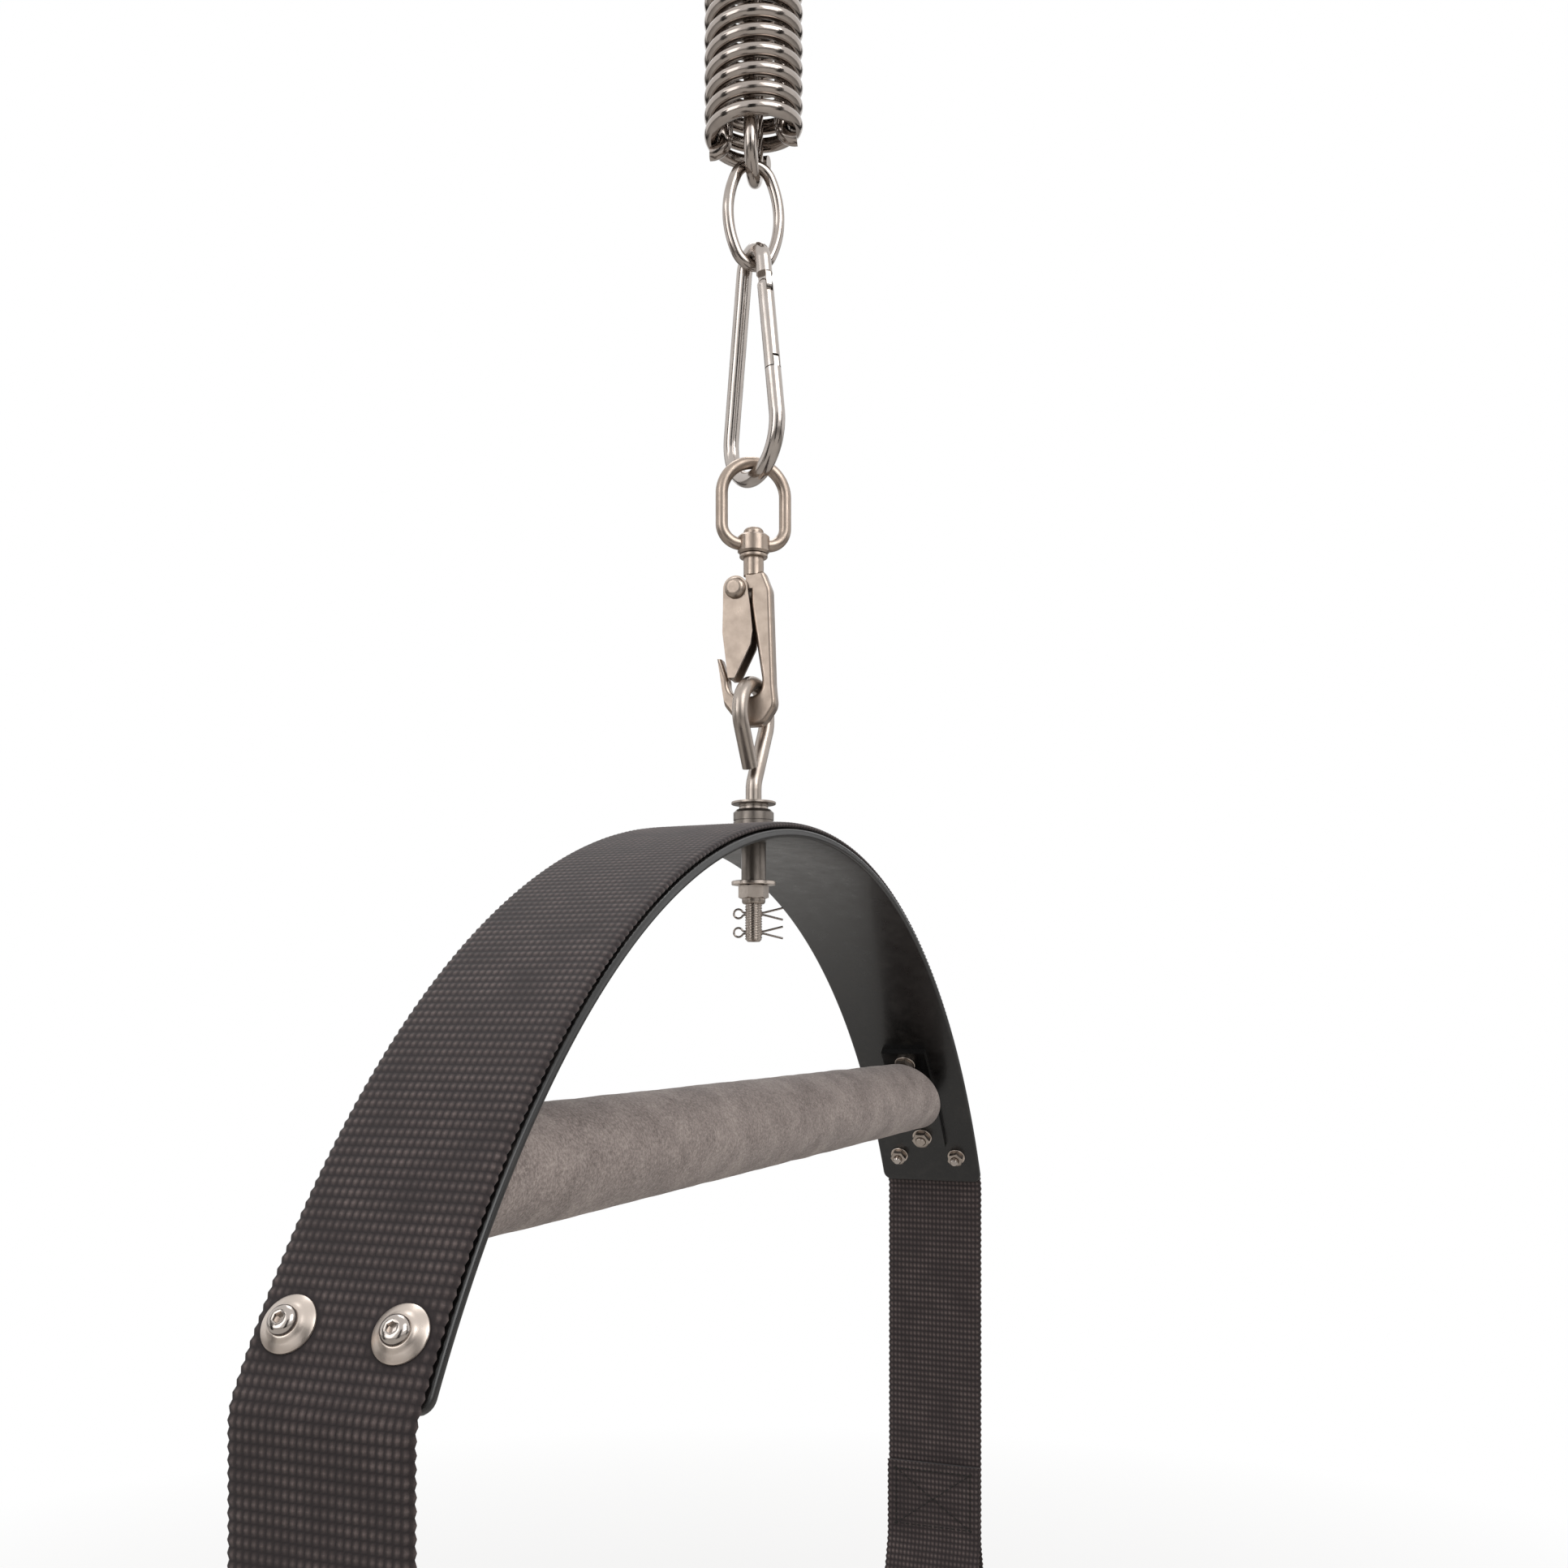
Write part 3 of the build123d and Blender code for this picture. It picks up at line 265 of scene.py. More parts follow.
def fasteners_tree() -> bpy.types.NodeTree:
    """Tree that sets one fastener at each point, along the point's facing attribute.

    Returns:
        The tree.
    """
    tree, given = new_growth(
        "fasteners",
        {
            "Fastener": "NodeSocketObject",
            "Spin": "NodeSocketFloat",
            "Seed": "NodeSocketInt",
            "Material": "NodeSocketMaterial",
        },
    )
    one = add_node(tree, "GeometryNodeObjectInfo", {"Object": given.outputs["Fastener"]})
    facing = add_node(
        tree,
        "GeometryNodeInputNamedAttribute",
        {"Name": "facing"},
        data_type="FLOAT_VECTOR",
    )
    upright = add_node(
        tree,
        "FunctionNodeAlignRotationToVector",
        {"Vector": facing.outputs["Attribute"]},
        axis="Z",
    )
    points = add_node(tree, "GeometryNodeMeshToPoints", {"Mesh": given.outputs["Geometry"]})
    placed = add_node(
        tree,
        "GeometryNodeInstanceOnPoints",
        {
            "Points": points.outputs[0],
            "Instance": one.outputs["Geometry"],
            "Rotation": upright.outputs[0],
        },
    )
    turn = add_node(
        tree,
        "FunctionNodeRandomValue",
        {3: given.outputs["Spin"], "Seed": given.outputs["Seed"]},
        data_type="FLOAT",
    )
    about = add_node(
        tree,
        "FunctionNodeAxisAngleToRotation",
        {"Axis": (0, 0, 1), "Angle": turn.outputs[1]},
    )
    turned = add_node(
        tree,
        "GeometryNodeRotateInstances",
        {"Instances": placed.outputs[0], "Rotation": about.outputs[0], "Local Space": True},
    )
    real = add_node(tree, "GeometryNodeRealizeInstances", {"Geometry": turned.outputs[0]})
    dressed = add_node(
        tree,
        "GeometryNodeSetMaterial",
        {"Geometry": real.outputs[0], "Material": given.outputs["Material"]},
    )
    add_node(tree, "NodeGroupOutput", {0: dressed.outputs[0]})
    return tree


def stitches_tree() -> bpy.types.NodeTree:
    """Tree that lays one stitch after another along drawn seam lines.

    Returns:
        The tree.
    """
    tree, given = new_growth(
        "stitches",
        {
            "Pitch": "NodeSocketFloat",
            "Thread": "NodeSocketFloat",
            "Material": "NodeSocketMaterial",
        },
    )
    lines = add_node(tree, "GeometryNodeMeshToCurve", {"Mesh": given.outputs["Geometry"]})
    steps = add_node(
        tree,
        "GeometryNodeResampleCurve",
        {"Curve": lines.outputs[0], "Length": given.outputs["Pitch"]},
        mode="LENGTH",
    )
    bead = add_node(
        tree,
        "GeometryNodeMeshUVSphere",
        {"Segments": 8, "Rings": 6, "Radius": given.outputs["Thread"]},
    )
    along = add_node(
        tree,
        "FunctionNodeAlignRotationToVector",
        {"Vector": add_node(tree, "GeometryNodeInputTangent").outputs[0]},
        axis="X",
    )
    ratio = add_node(
        tree,
        "ShaderNodeMath",
        {0: given.outputs["Pitch"], 1: given.outputs["Thread"]},
        operation="DIVIDE",
    )
    half = add_node(tree, "ShaderNodeMath", {0: ratio.outputs[0], 1: 0.46}, operation="MULTIPLY")
    stretch = add_node(tree, "ShaderNodeCombineXYZ", {"X": half.outputs[0], "Y": 1.0, "Z": 1.0})
    placed = add_node(
        tree,
        "GeometryNodeInstanceOnPoints",
        {
            "Points": steps.outputs[0],
            "Instance": bead.outputs["Mesh"],
            "Rotation": along.outputs[0],
            "Scale": stretch.outputs[0],
        },
    )
    return end_growth(tree, placed.outputs[0], given.outputs["Material"])


# ---------------------------------------------------------------- meshes
def new_piece(
    name: str,
    points: Iterable[Sequence[float]],
    faces: Iterable[Sequence[int]] = (),
    edges: Iterable[Sequence[int]] = (),
    dress: bpy.types.Material | None = None,
    smooth: bool = True,
) -> bpy.types.Object:
    """Makes an object at the origin from plain mesh data.

    Args:
        name: the object's name.
        points: its vertices.
        faces: its faces, by vertex numbers.
        edges: loose edges, by vertex numbers.
        dress: its material.
        smooth: whether its faces shade smoothly, apart from the sharp edges.

    Returns:
        The object.
    """
    mesh = bpy.data.meshes.new(name)
    mesh.from_pydata([tuple(p) for p in points], list(edges), [tuple(f) for f in faces])
    mesh.update()
    if dress:
        mesh.materials.append(dress)
    piece = bpy.data.objects.new(name, mesh)
    bpy.context.scene.collection.objects.link(piece)
    if smooth and len(mesh.polygons):
        crisp(piece)
    return piece


def crisp(piece: bpy.types.Object, angle: float = SMOOTH_ANGLE) -> None:
    """Shades a piece smoothly and keeps its sharp edges crisp.

    Args:
        piece: the object.
        angle: edges sharper than this stay crisp.
    """
    piece.data.shade_smooth()
    piece.data.set_sharp_from_angle(angle=angle)


def face_outwards(piece: bpy.types.Object) -> None:
    """Merges a closed piece's doubles and turns its faces outwards.

    Args:
        piece: the object.
    """
    shape = bmesh.new()
    shape.from_mesh(piece.data)
    bmesh.ops.remove_doubles(shape, verts=shape.verts, dist=1e-7)
    bmesh.ops.recalc_face_normals(shape, faces=shape.faces)
    shape.to_mesh(piece.data)
    shape.free()
    piece.data.update()


@dataclass(frozen=True)
class Ring:
    """One level of a turned or hexagonal form, round Z.

    A hexagon's radius is to the middle of a flat. Its chamfer is the rise of the level for
    each unit that a point stands further out than that.
    """

    radius: float
    height: float
    hexagon: bool = False
    chamfer: float = 0.0

    def point(self, angle: float) -> Vector:
        """Point of the level at an angle about Z.

        Args:
            angle: the angle, in radians.

        Returns:
            The point.
        """
        reach = self.radius
        if self.hexagon:
            reach /= cos((angle % (pi / 3)) - pi / 6)
        height = self.height + self.chamfer * (reach - self.radius)
        return Vector((reach * cos(angle), reach * sin(angle), height))


def wrapped(levels: int, ring: int, closed: bool = False) -> list[tuple[int, ...]]:
    """Lists the faces between rings of points.

    Args:
        levels: how many rings there are.
        ring: how many points each has.
        closed: whether the last ring joins the first.

    Returns:
        The faces.
    """
    faces = []
    for level in range(levels if closed else levels - 1):
        low, high = level * ring, (level + 1) % levels * ring
        for k in range(ring):
            after = (k + 1) % ring
            faces.append((low + k, low + after, high + after, high + k))
    return faces


def turned(
    name: str,
    levels: Sequence[Ring],
    bored: bool,
    dress: bpy.types.Material | None = None,
    steps: int = 48,
) -> bpy.types.Object:
    """Makes a closed form from levels, as a lathe does.

    Args:
        name: the object's name.
        levels: the rings, in order along the surface, in millimetres.
        bored: whether the last ring joins the first, round a bore; otherwise both are closed.
        dress: its material.
        steps: the points round each ring.

    Returns:
        The object.
    """
    points = [level.point(2 * pi * k / steps) * MM for level in levels for k in range(steps)]
    faces = wrapped(len(levels), steps, closed=bored)
    if not bored:
        for level in (0, len(levels) - 1):
            middle = len(points)
            points.append(Vector((0, 0, levels[level].height * MM)))
            start = level * steps
            faces += [(middle, start + k, start + (k + 1) % steps) for k in range(steps)]
    piece = new_piece(name, points, faces, dress=dress, smooth=False)
    face_outwards(piece)
    crisp(piece, radians(30))
    return piece


def cut_away(piece: bpy.types.Object, cutter: bpy.types.Object) -> None:
    """Cuts one closed shape out of another, and removes the cutter.

    Args:
        piece: the object that is cut.
        cutter: the object that cuts it.
    """
    cut = piece.modifiers.new("cut", "BOOLEAN")
    cut.operation = "DIFFERENCE"
    cut.solver = "MANIFOLD"
    cut.object = cutter
    settle(piece)
    bpy.data.objects.remove(cutter)


# ---------------------------------------------------------------- finishes
def linear(shade: str) -> tuple[float, float, float, float]:
    """Turns an sRGB hex colour to linear.

    Args:
        shade: the colour, such as 2B2421.

    Returns:
        The colour with an alpha of 1.
    """
    parts = [int(shade[k : k + 2], 16) / 255 for k in (0, 2, 4)]
    low = [c / 12.92 if c <= 0.04045 else ((c + 0.055) / 1.055) ** 2.4 for c in parts]
    return (*low, 1.0)


def per_metre(size_mm: float) -> float:
    """Texture scale that gives features of a real size.

    Args:
        size_mm: the size, in millimetres.

    Returns:
        The scale on Object coordinates.
    """
    return 1000.0 / size_mm


@dataclass
class Surface:
    """A material in the making: its shader, and the textures that drive it."""

    name: str
    shade: str

    def __post_init__(self) -> None:
        """Makes the material in its plain colour."""
        self.material = bpy.data.materials.new(self.name)
        self.material.use_nodes = True
        self.tree = self.material.node_tree
        self.shader = self.tree.nodes["Principled BSDF"]
        self.place = add_node(self.tree, "ShaderNodeTexCoord").outputs["Object"]
        self.set("Base Color", linear(self.shade))

    def set(self, label: str, value: object) -> None:
        """Sets one of the shader's inputs, or links it.

        Args:
            label: the input's name.
            value: its value, or the socket that drives it.
        """
        if isinstance(value, bpy.types.NodeSocket):
            self.tree.links.new(value, self.shader.inputs[label])
        else:
            self.shader.inputs[label].default_value = value

    def noise(self, size_mm: float, detail: float, rough: float = 0.5) -> bpy.types.NodeSocket:
        """Adds noise with features of a real size.

        Args:
            size_mm: the features' size, in millimetres.
            detail: how many finer layers it has.
            rough: how strong the finer layers are.

        Returns:
            The noise.
        """
        given = {"Scale": per_metre(size_mm), "Detail": detail, "Roughness": rough}
        node = add_node(self.tree, "ShaderNodeTexNoise", {"Vector": self.place, **given})
        return node.outputs[0]

    def remap(
        self,
        value: bpy.types.NodeSocket,
        start: float,
        end: float,
        low: float = 0.0,
        high: float = 1.0,
    ) -> bpy.types.NodeSocket:
        """Maps one range of a value on another.

        Args:
            value: the value.
            start: where its range starts.
            end: where its range ends.
            low: the result at the start.
            high: the result at the end.

        Returns:
            The result.
        """
        given = {"From Min": start, "From Max": end, "To Min": low, "To Max": high}
        return add_node(self.tree, "ShaderNodeMapRange", {"Value": value, **given}).outputs[0]

    def mix(self, share: bpy.types.NodeSocket, first: str, second: str) -> bpy.types.NodeSocket:
        """Mixes two colours.

        Args:
            share: the second colour's share.
            first: the first colour, in sRGB hex.
            second: the second colour.

        Returns:
            The mixed colour.
        """
        given = {"Factor": share, 6: linear(first), 7: linear(second)}
        return add_node(self.tree, "ShaderNodeMix", given, data_type="RGBA").outputs[2]

    def math(
        self,
        operation: str,
        first: bpy.types.NodeSocket,
        second: bpy.types.NodeSocket,
        clamp: bool = False,
    ) -> bpy.types.NodeSocket:
        """Works out one value from two.

        Args:
            operation: the operation's name.
            first: the first value.
            second: the second value.
            clamp: whether the result is kept from 0 to 1.

        Returns:
            The result.
        """
        settings = {"operation": operation, "use_clamp": clamp}
        return add_node(self.tree, "ShaderNodeMath", {0: first, 1: second}, **settings).outputs[0]

    def bump(self, height: bpy.types.NodeSocket, depth_mm: float, strength: float = 1.0) -> None:
        """Roughens the surface.

        Args:
            height: the height, from 0 to 1.
            depth_mm: the real depth, in millimetres.
            strength: how strongly it shows.
        """
        given = {"Height": height, "Distance": depth_mm * MM, "Strength": strength}
        self.set("Normal", add_node(self.tree, "ShaderNodeBump", given).outputs[0])


@dataclass(frozen=True)
class Finish:
    """What every finish has: its name and its main colour."""

    name: str
    shade: str


@dataclass(frozen=True)
class PlatedSteel(Finish):
    """Steel wire or forging with a thin bright plate, smooth or softly blasted.

    Handling and the die leave a fine mottle in the gloss, which breaks up its reflections.
    """

    dull_shade: str
    gloss: float  # roughness where it is brightest
    haze: float  # roughness where it is dullest
    grain_mm: float = 0.35
    grain_depth_mm: float = 0.004
    patch_mm: float = 6.0

    def material(self) -> bpy.types.Material:
        """Builds the material.

        Returns:
            The material.
        """
        surface = Surface(self.name, self.shade)
        surface.set("Metallic", 1.0)
        patch = surface.noise(self.patch_mm, 4.0, 0.6)
        surface.set("Base Color", surface.mix(patch, self.shade, self.dull_shade))
        surface.set("Roughness", surface.remap(patch, 0.3, 0.7, self.gloss, self.haze))
        surface.bump(surface.noise(self.grain_mm, 3.0), self.grain_depth_mm)
        return surface.material


@dataclass(frozen=True)
class PowderEnamel(Finish):
    """Gloss powder coat baked on steel: deep black, with the slight orange peel it dries to."""

    worn_shade: str
    peel_mm: float = 2.4
    peel_depth_mm: float = 0.012
    dust_mm: float = 9.0
    roughness: float = 0.26
    dulling: float = 0.16  # added roughness where dust lies

    def material(self) -> bpy.types.Material:
        """Builds the material.

        Returns:
            The material.
        """
        surface = Surface(self.name, self.shade)
        surface.set("Coat Weight", 0.15)
        surface.set("Coat Roughness", 0.08)
        dust = surface.noise(self.dust_mm, 8.0, 0.75)
        worn = surface.remap(dust, 0.48, 0.78)
        surface.set("Base Color", surface.mix(worn, self.shade, self.worn_shade))
        dull = surface.remap(dust, 0.35, 0.7, self.roughness, self.roughness + self.dulling)
        surface.set("Roughness", dull)
        surface.bump(surface.noise(self.peel_mm, 1.0), self.peel_depth_mm)
        return surface.material


@dataclass(frozen=True)
class WovenPolyester(Finish):
    """Coarse black polyester webbing: the top of each weft bead gets a painted highlight, and the
    gaps keep the webbing's own black.

    The colour follows the piece's own lift attribute, which is 1 on top of a bead, where the painted
    highlight is strongest.
    """

    # colour of the painted highlight on the bead tops
    bead_highlight_shade: str
    fibre_mm: float = 0.16
    patch_mm: float = 7.0

    def material(self) -> bpy.types.Material:
        """Builds the material.

        Returns:
            The material.
        """
        surface = Surface(self.name, self.shade)
        surface.set("Roughness", 0.82)
        surface.set("Specular IOR Level", 0.35)
        surface.set("Sheen Weight", 0.12)
        surface.set("Sheen Roughness", 0.45)
        lift = add_node(surface.tree, "ShaderNodeAttribute", attribute_name="lift")
        fibre = surface.noise(self.fibre_mm, 3.0)
        uneven = surface.remap(surface.noise(self.patch_mm, 5.0, 0.7), 0.3, 0.7, 0.55, 1.0)
        twist = surface.remap(fibre, 0.3, 0.7, 0.6, 1.15)
        # painted highlight: the bead tops are coloured lighter by the lift attribute, standing in
        # for the light that catches them
        raised = surface.math("MULTIPLY", lift.outputs["Fac"], uneven)
        lit = surface.math("MULTIPLY", raised, twist, clamp=True)
        surface.set("Base Color", surface.mix(lit, self.shade, self.bead_highlight_shade))
        surface.bump(fibre, 0.05, 0.8)
        return surface.material


@dataclass(frozen=True)
class CellFoam(Finish):
    """Closed-cell foam sleeve: matt and grey-brown, speckled by its cut and crushed cells."""

    light_shade: str
    dark_shade: str
    cell_mm: float = 0.9  # drawn about twice as coarse as the real cells, so that it shows
    wear_mm: float = 16.0
    wear: float = 0.32

    def material(self) -> bpy.types.Material:
        """Builds the material.

        Returns:
            The material.
        """
        surface = Surface(self.name, self.shade)
        surface.set("Roughness", 0.9)
        surface.set("Specular IOR Level", 0.3)
        surface.set("Sheen Weight", 0.15)
        cells = surface.noise(self.cell_mm, 6.0, 0.75)
        worn = surface.noise(self.wear_mm, 5.0, 0.65)
        both = add_node(
            surface.tree,
            "ShaderNodeMix",
            {"Factor": self.wear, 2: cells, 3: worn},
            data_type="FLOAT",
        )
        tone = add_node(surface.tree, "ShaderNodeValToRGB", {"Fac": both.outputs[0]})
        stops = tone.color_ramp.elements
        stops.new(0.5)
        shades = {0.38: self.dark_shade, 0.5: self.shade, 0.62: self.light_shade}
        for stop, (position, shade) in zip(stops, shades.items()):
            stop.position = position
            stop.color = linear(shade)
        surface.set("Base Color", tone.outputs[0])
        pits = add_node(
            surface.tree,
            "ShaderNodeTexVoronoi",
            {"Vector": surface.place, "Scale": per_metre(self.cell_mm * 0.8)},
        )
        depth = surface.math("ADD", pits.outputs["Distance"], cells)
        surface.bump(depth, 0.12, 0.7)
        return surface.material


@dataclass
class Finishes:
    """Every finish on the hanger, built once."""

    spring: bpy.types.Material = field(init=False)
    polished: bpy.types.Material = field(init=False)
    satin: bpy.types.Material = field(init=False)
    bolt: bpy.types.Material = field(init=False)
    washer: bpy.types.Material = field(init=False)
    bush: bpy.types.Material = field(init=False)
    enamel: bpy.types.Material = field(init=False)
    webbing: bpy.types.Material = field(init=False)
    thread: bpy.types.Material = field(init=False)
    foam: bpy.types.Material = field(init=False)

    def __post_init__(self) -> None:
        """Builds the materials."""
        # nickel on drawn wire: near a mirror, with dark lines where it faces dark things
        self.spring = PlatedSteel("bright_nickel_wire", "B9B0A9", "9A9089", 0.11, 0.22).material()
        # polished and plated forging: the brightest metal here
        self.polished = PlatedSteel("polished_nickel", "C4BCB6", "A59C95", 0.12, 0.24).material()
        # blasted and plated casting: soft warm grey with broad, dim highlights
        self.satin = PlatedSteel(
            "satin_nickel", "B5A699", "94867B", 0.27, 0.42, 0.3, 0.012, 4.0
        ).material()
        # zinc on rolled thread: greyer, with a slight haze
        self.bolt = PlatedSteel("zinc_plate", "B9AFA6", "978C83", 0.24, 0.38, 0.3, 0.01).material()
        # stamped and tumbled washers: pale and smooth
        self.washer = PlatedSteel(
            "tumbled_zinc", "D5C9BF", "B8ACA2", 0.26, 0.36, 0.5, 0.006
        ).material()
        self.bush = PlatedSteel("turned_steel", "8F8780", "6F6862", 0.3, 0.42, 0.25, 0.01).material()
        self.enamel = PowderEnamel("black_powder_enamel", "0B0A0A", "2A2725").material()
        # black webbing and thread: the second colour is the painted highlight on the bead tops
        self.webbing = WovenPolyester("woven_black_polyester", "241D1E", "7B6D6A").material()
        self.thread = WovenPolyester("black_sewing_thread", "1C1917", "4A4340").material()
        self.foam = CellFoam("closed_cell_foam", "8F837E", "B0A39C", "695E59").material()


# ---------------------------------------------------------------- the arch's line
@dataclass
class Arch:
    """The round line that the strip, webbing and bar share."""

    radius: float = 290.0 * MM  # strip's inner face
    half_angle: float = radians(61.5)
    strip_thick: float = 3.0 * MM
    strip_width: float = 52.0 * MM
    strip_corner: float = 4.0 * MM
    webbing_thick: float = 2.5 * MM

    @property
    def outer(self) -> float:
        """Radius of the strip's outer face."""
        return self.radius + self.strip_thick

    @cached_property
    def centre(self) -> float:
        """Height of the arch's axis."""
        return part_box("arch_webbing")[1][2] - self.outer - self.webbing_thick

    def point(self, angle: float, radius: float, across: float = 0.0) -> Vector:
        """Point on a circle about the arch's axis.

        Args:
            angle: the angle from the top, towards +X.
            radius: the circle's radius.
            across: the distance from the middle, along Y.

        Returns:
            The point.
        """
        return Vector((radius * sin(angle), across, self.centre + radius * cos(angle)))

    def facing(self, angle: float) -> Vector:
        """Direction out from the arch's axis.

        Args:
            angle: the angle from the top, towards +X.

        Returns:
            The direction.
        """
        return Vector((sin(angle), 0.0, cos(angle)))


ARCH = Arch()


# ---------------------------------------------------------------- webbing
@dataclass(frozen=True)
class Step:
    """One place along a strap: its middle, the way its face looks, and the length so far."""

    middle: Vector
    facing: Vector
    along: float


@dataclass
class Webbing:
    """Flat woven strap with weft ribs, beads across each rib and bumpy selvedges."""

    width: float = 50.0 * MM
    thick: float = 2.5 * MM
    rib: float = 3.0 * MM
    bead: float = 2.1 * MM
    relief: float = 0.3 * MM
    scallop: float = 0.28 * MM
    samples_along: int = 4
    samples_across: int = 4
    wander: float = 90.0  # unevenness of the weave, in waves per metre

    def lift(self, along: float, across: float) -> tuple[float, float]:
        """Height of the weave, and how far a point is up its bead.

        Args:
            along: the distance along the strap.
            across: the distance from its middle line.

        Returns:
            The height over the ground of the weave, and the bead's share from 0 to 1.
        """
        rib = 0.5 + 0.5 * cos(2 * pi * along / self.rib)
        bead = 0.5 + 0.5 * cos(2 * pi * across / self.bead)
        uneven = noise.noise(Vector((along * self.wander, across * self.wander, 3.1)))
        share = rib**1.2 * bead * (0.86 + 0.5 * uneven)
        return self.relief * (0.45 * rib + 0.55 * share - 0.4), max(0.0, min(1.0, share))

    def ribbon(
        self,
        name: str,
        steps: Sequence[Step],
        dress: bpy.types.Material,
        plain_back: bool = False,
        pressed: Callable[[float, float], float] | None = None,
    ) -> bpy.types.Object:
        """Weaves a strap along its middle line.

        Args:
            name: the piece's name.
            steps: the middle line, in even steps.
            dress: its material.
            plain_back: whether the back is flat, where it lies on something.
            pressed: gives, for a place along and across, how flat a fastener presses it.

        Returns:
            The piece.
        """
        count = round(self.width / self.bead * self.samples_across)
        count += count % 2
        half = self.width / 2
        front = [half * (2 * k / count - 1) for k in range(count + 1)]
        back = [front[-2], front[count // 2], front[1]] if plain_back else front[-2:0:-1]
        points: list[Vector] = []
        lifts: list[float] = []
        for step in steps:
            scallop = self.scallop * cos(2 * pi * step.along / self.rib)
            for side, row in ((1, front), (-1, back)):
                for across in row:
                    share = abs(across) / half
                    body = sqrt(max(0.0, 1 - share**16))
                    height, bead = self.lift(step.along, across)
                    calm = 1.0 - (pressed(step.along, across) if pressed else 0.0)
                    height *= calm
                    if side < 0 and plain_back:
                        height = 0.0
                    out = side * body * (self.thick / 2 + height)
                    point = step.middle + step.facing * out
                    point.y += across + (scallop if across > 0 else -scallop) * share**6
                    points.append(point)
                    lifts.append(bead * calm)
        ring = len(front) + len(back)
        faces = wrapped(len(steps), ring)
        last = (len(steps) - 1) * ring
        faces.append(tuple(range(ring)))
        faces.append(tuple(range(last + ring - 1, last - 1, -1)))
        piece = new_piece(name, points, faces, dress=dress, smooth=False)
        # the lift attribute marks where the webbing's material paints its bead highlight
        mark = piece.data.attributes.new("lift", "FLOAT", "POINT")
        mark.data.foreach_set("value", lifts)
        face_outwards(piece)
        crisp(piece, radians(70))
        return piece


@dataclass
class StrapBolts:
    """Cup washers, button bolts, washers and nuts that hold the webbing to the strip."""

    setback: float = 16.2 * MM
    pitch: float = 30.4 * MM
    washer_drop: float = 5.535  # webbing's face to the washer's top, in mm

    @property
    def angle(self) -> float:
        """Angle of the bolts from the arch's top."""
        return ARCH.half_angle - self.setback / ARCH.radius

    def places(self) -> list[tuple[Vector, Vector]]:
        """Place on the webbing's face and facing of each bolt.

        Returns:
            The places.
        """
        radius = ARCH.outer + ARCH.webbing_thick
        return [
            (
                ARCH.point(side.value * self.angle, radius, row * self.pitch / 2),
                ARCH.facing(side.value * self.angle),
            )
            for side in Side
            for row in (-1, 1)
        ]

    def make(self, finishes: Finishes, tree: bpy.types.NodeTree) -> None:
        """Makes the four sets.

        Args:
            finishes: the hanger's finishes.
            tree: the tree that sets fasteners.
        """
        head = [
            Ring(1.5, -11.93),
            Ring(2.0, -11.4),
            Ring(2.0, 2.4),
            Ring(3.7, 2.4),
            Ring(3.8, 2.55),
            Ring(3.74, 3.1),
            Ring(3.45, 3.75),
            Ring(2.95, 4.22),
            Ring(2.35, 4.5),
            Ring(1.75, 4.6),
            Ring(1.3, 4.5, hexagon=True),
            Ring(1.25, 4.3, hexagon=True),
            Ring(1.25, 3.1, hexagon=True),
        ]
        cup = [
            Ring(2.2, 0.0),
            Ring(7.15, 0.0),
            Ring(7.3, 0.2),
            Ring(7.2, 0.5),
            Ring(6.6, 0.95),
            Ring(5.4, 1.5),
            Ring(4.6, 1.95),
            Ring(4.15, 2.3),
            Ring(3.8, 2.4),
            Ring(2.2, 2.38),
        ]
        top = -self.washer_drop
        set_fasteners("strap_bolt_heads", head, False, self.places(), finishes.polished, tree,
                      "strap_bolts")
        set_fasteners("cup_washer_rings", cup, True, self.places(), finishes.washer, tree,
                      "cup_washers")
        set_fasteners("strap_washer_rings", washer_levels(4.5, 2.15, top, top - 0.8), True,
                      self.places(), finishes.washer, tree, "strap_washers")
        set_fasteners("strap_nut_hexagons", nut_levels(3.5, 2.0, top - 0.8, top - 4.0), True,
                      self.places(), finishes.bolt, tree, "strap_nuts")


def washer_levels(radius: float, bore: float, high: float, low: float) -> list[Ring]:
    """Levels of a flat washer with its edges rolled, in millimetres.

    Args:
        radius: its outside.
        bore: its hole's radius.
        high: its top.
        low: its underside.

    Returns:
        The levels.
    """
    edge = min(0.18, (high - low) / 4)
    return [
        Ring(bore, low),
        Ring(radius - edge, low),
        Ring(radius, low + edge),
        Ring(radius, high - edge),
        Ring(radius - edge, high),
        Ring(bore, high),
    ]


def nut_levels(half_flats: float, bore: float, high: float, low: float) -> list[Ring]:
    """Levels of a hexagon nut with chamfered corners, in millimetres.

    Args:
        half_flats: its middle to a flat.
        bore: its thread's radius.
        high: its top.
        low: its underside.

    Returns:
        The levels.
    """
    rim = half_flats * 0.95
    return [
        Ring(bore + 0.3, low),
        Ring(rim, low),
        Ring(half_flats, low + 0.1, hexagon=True, chamfer=0.55),
        Ring(half_flats, high - 0.1, hexagon=True, chamfer=-0.55),
        Ring(rim, high),
        Ring(bore + 0.3, high),
        Ring(bore, high - 0.3),
        Ring(bore, low + 0.3),
    ]


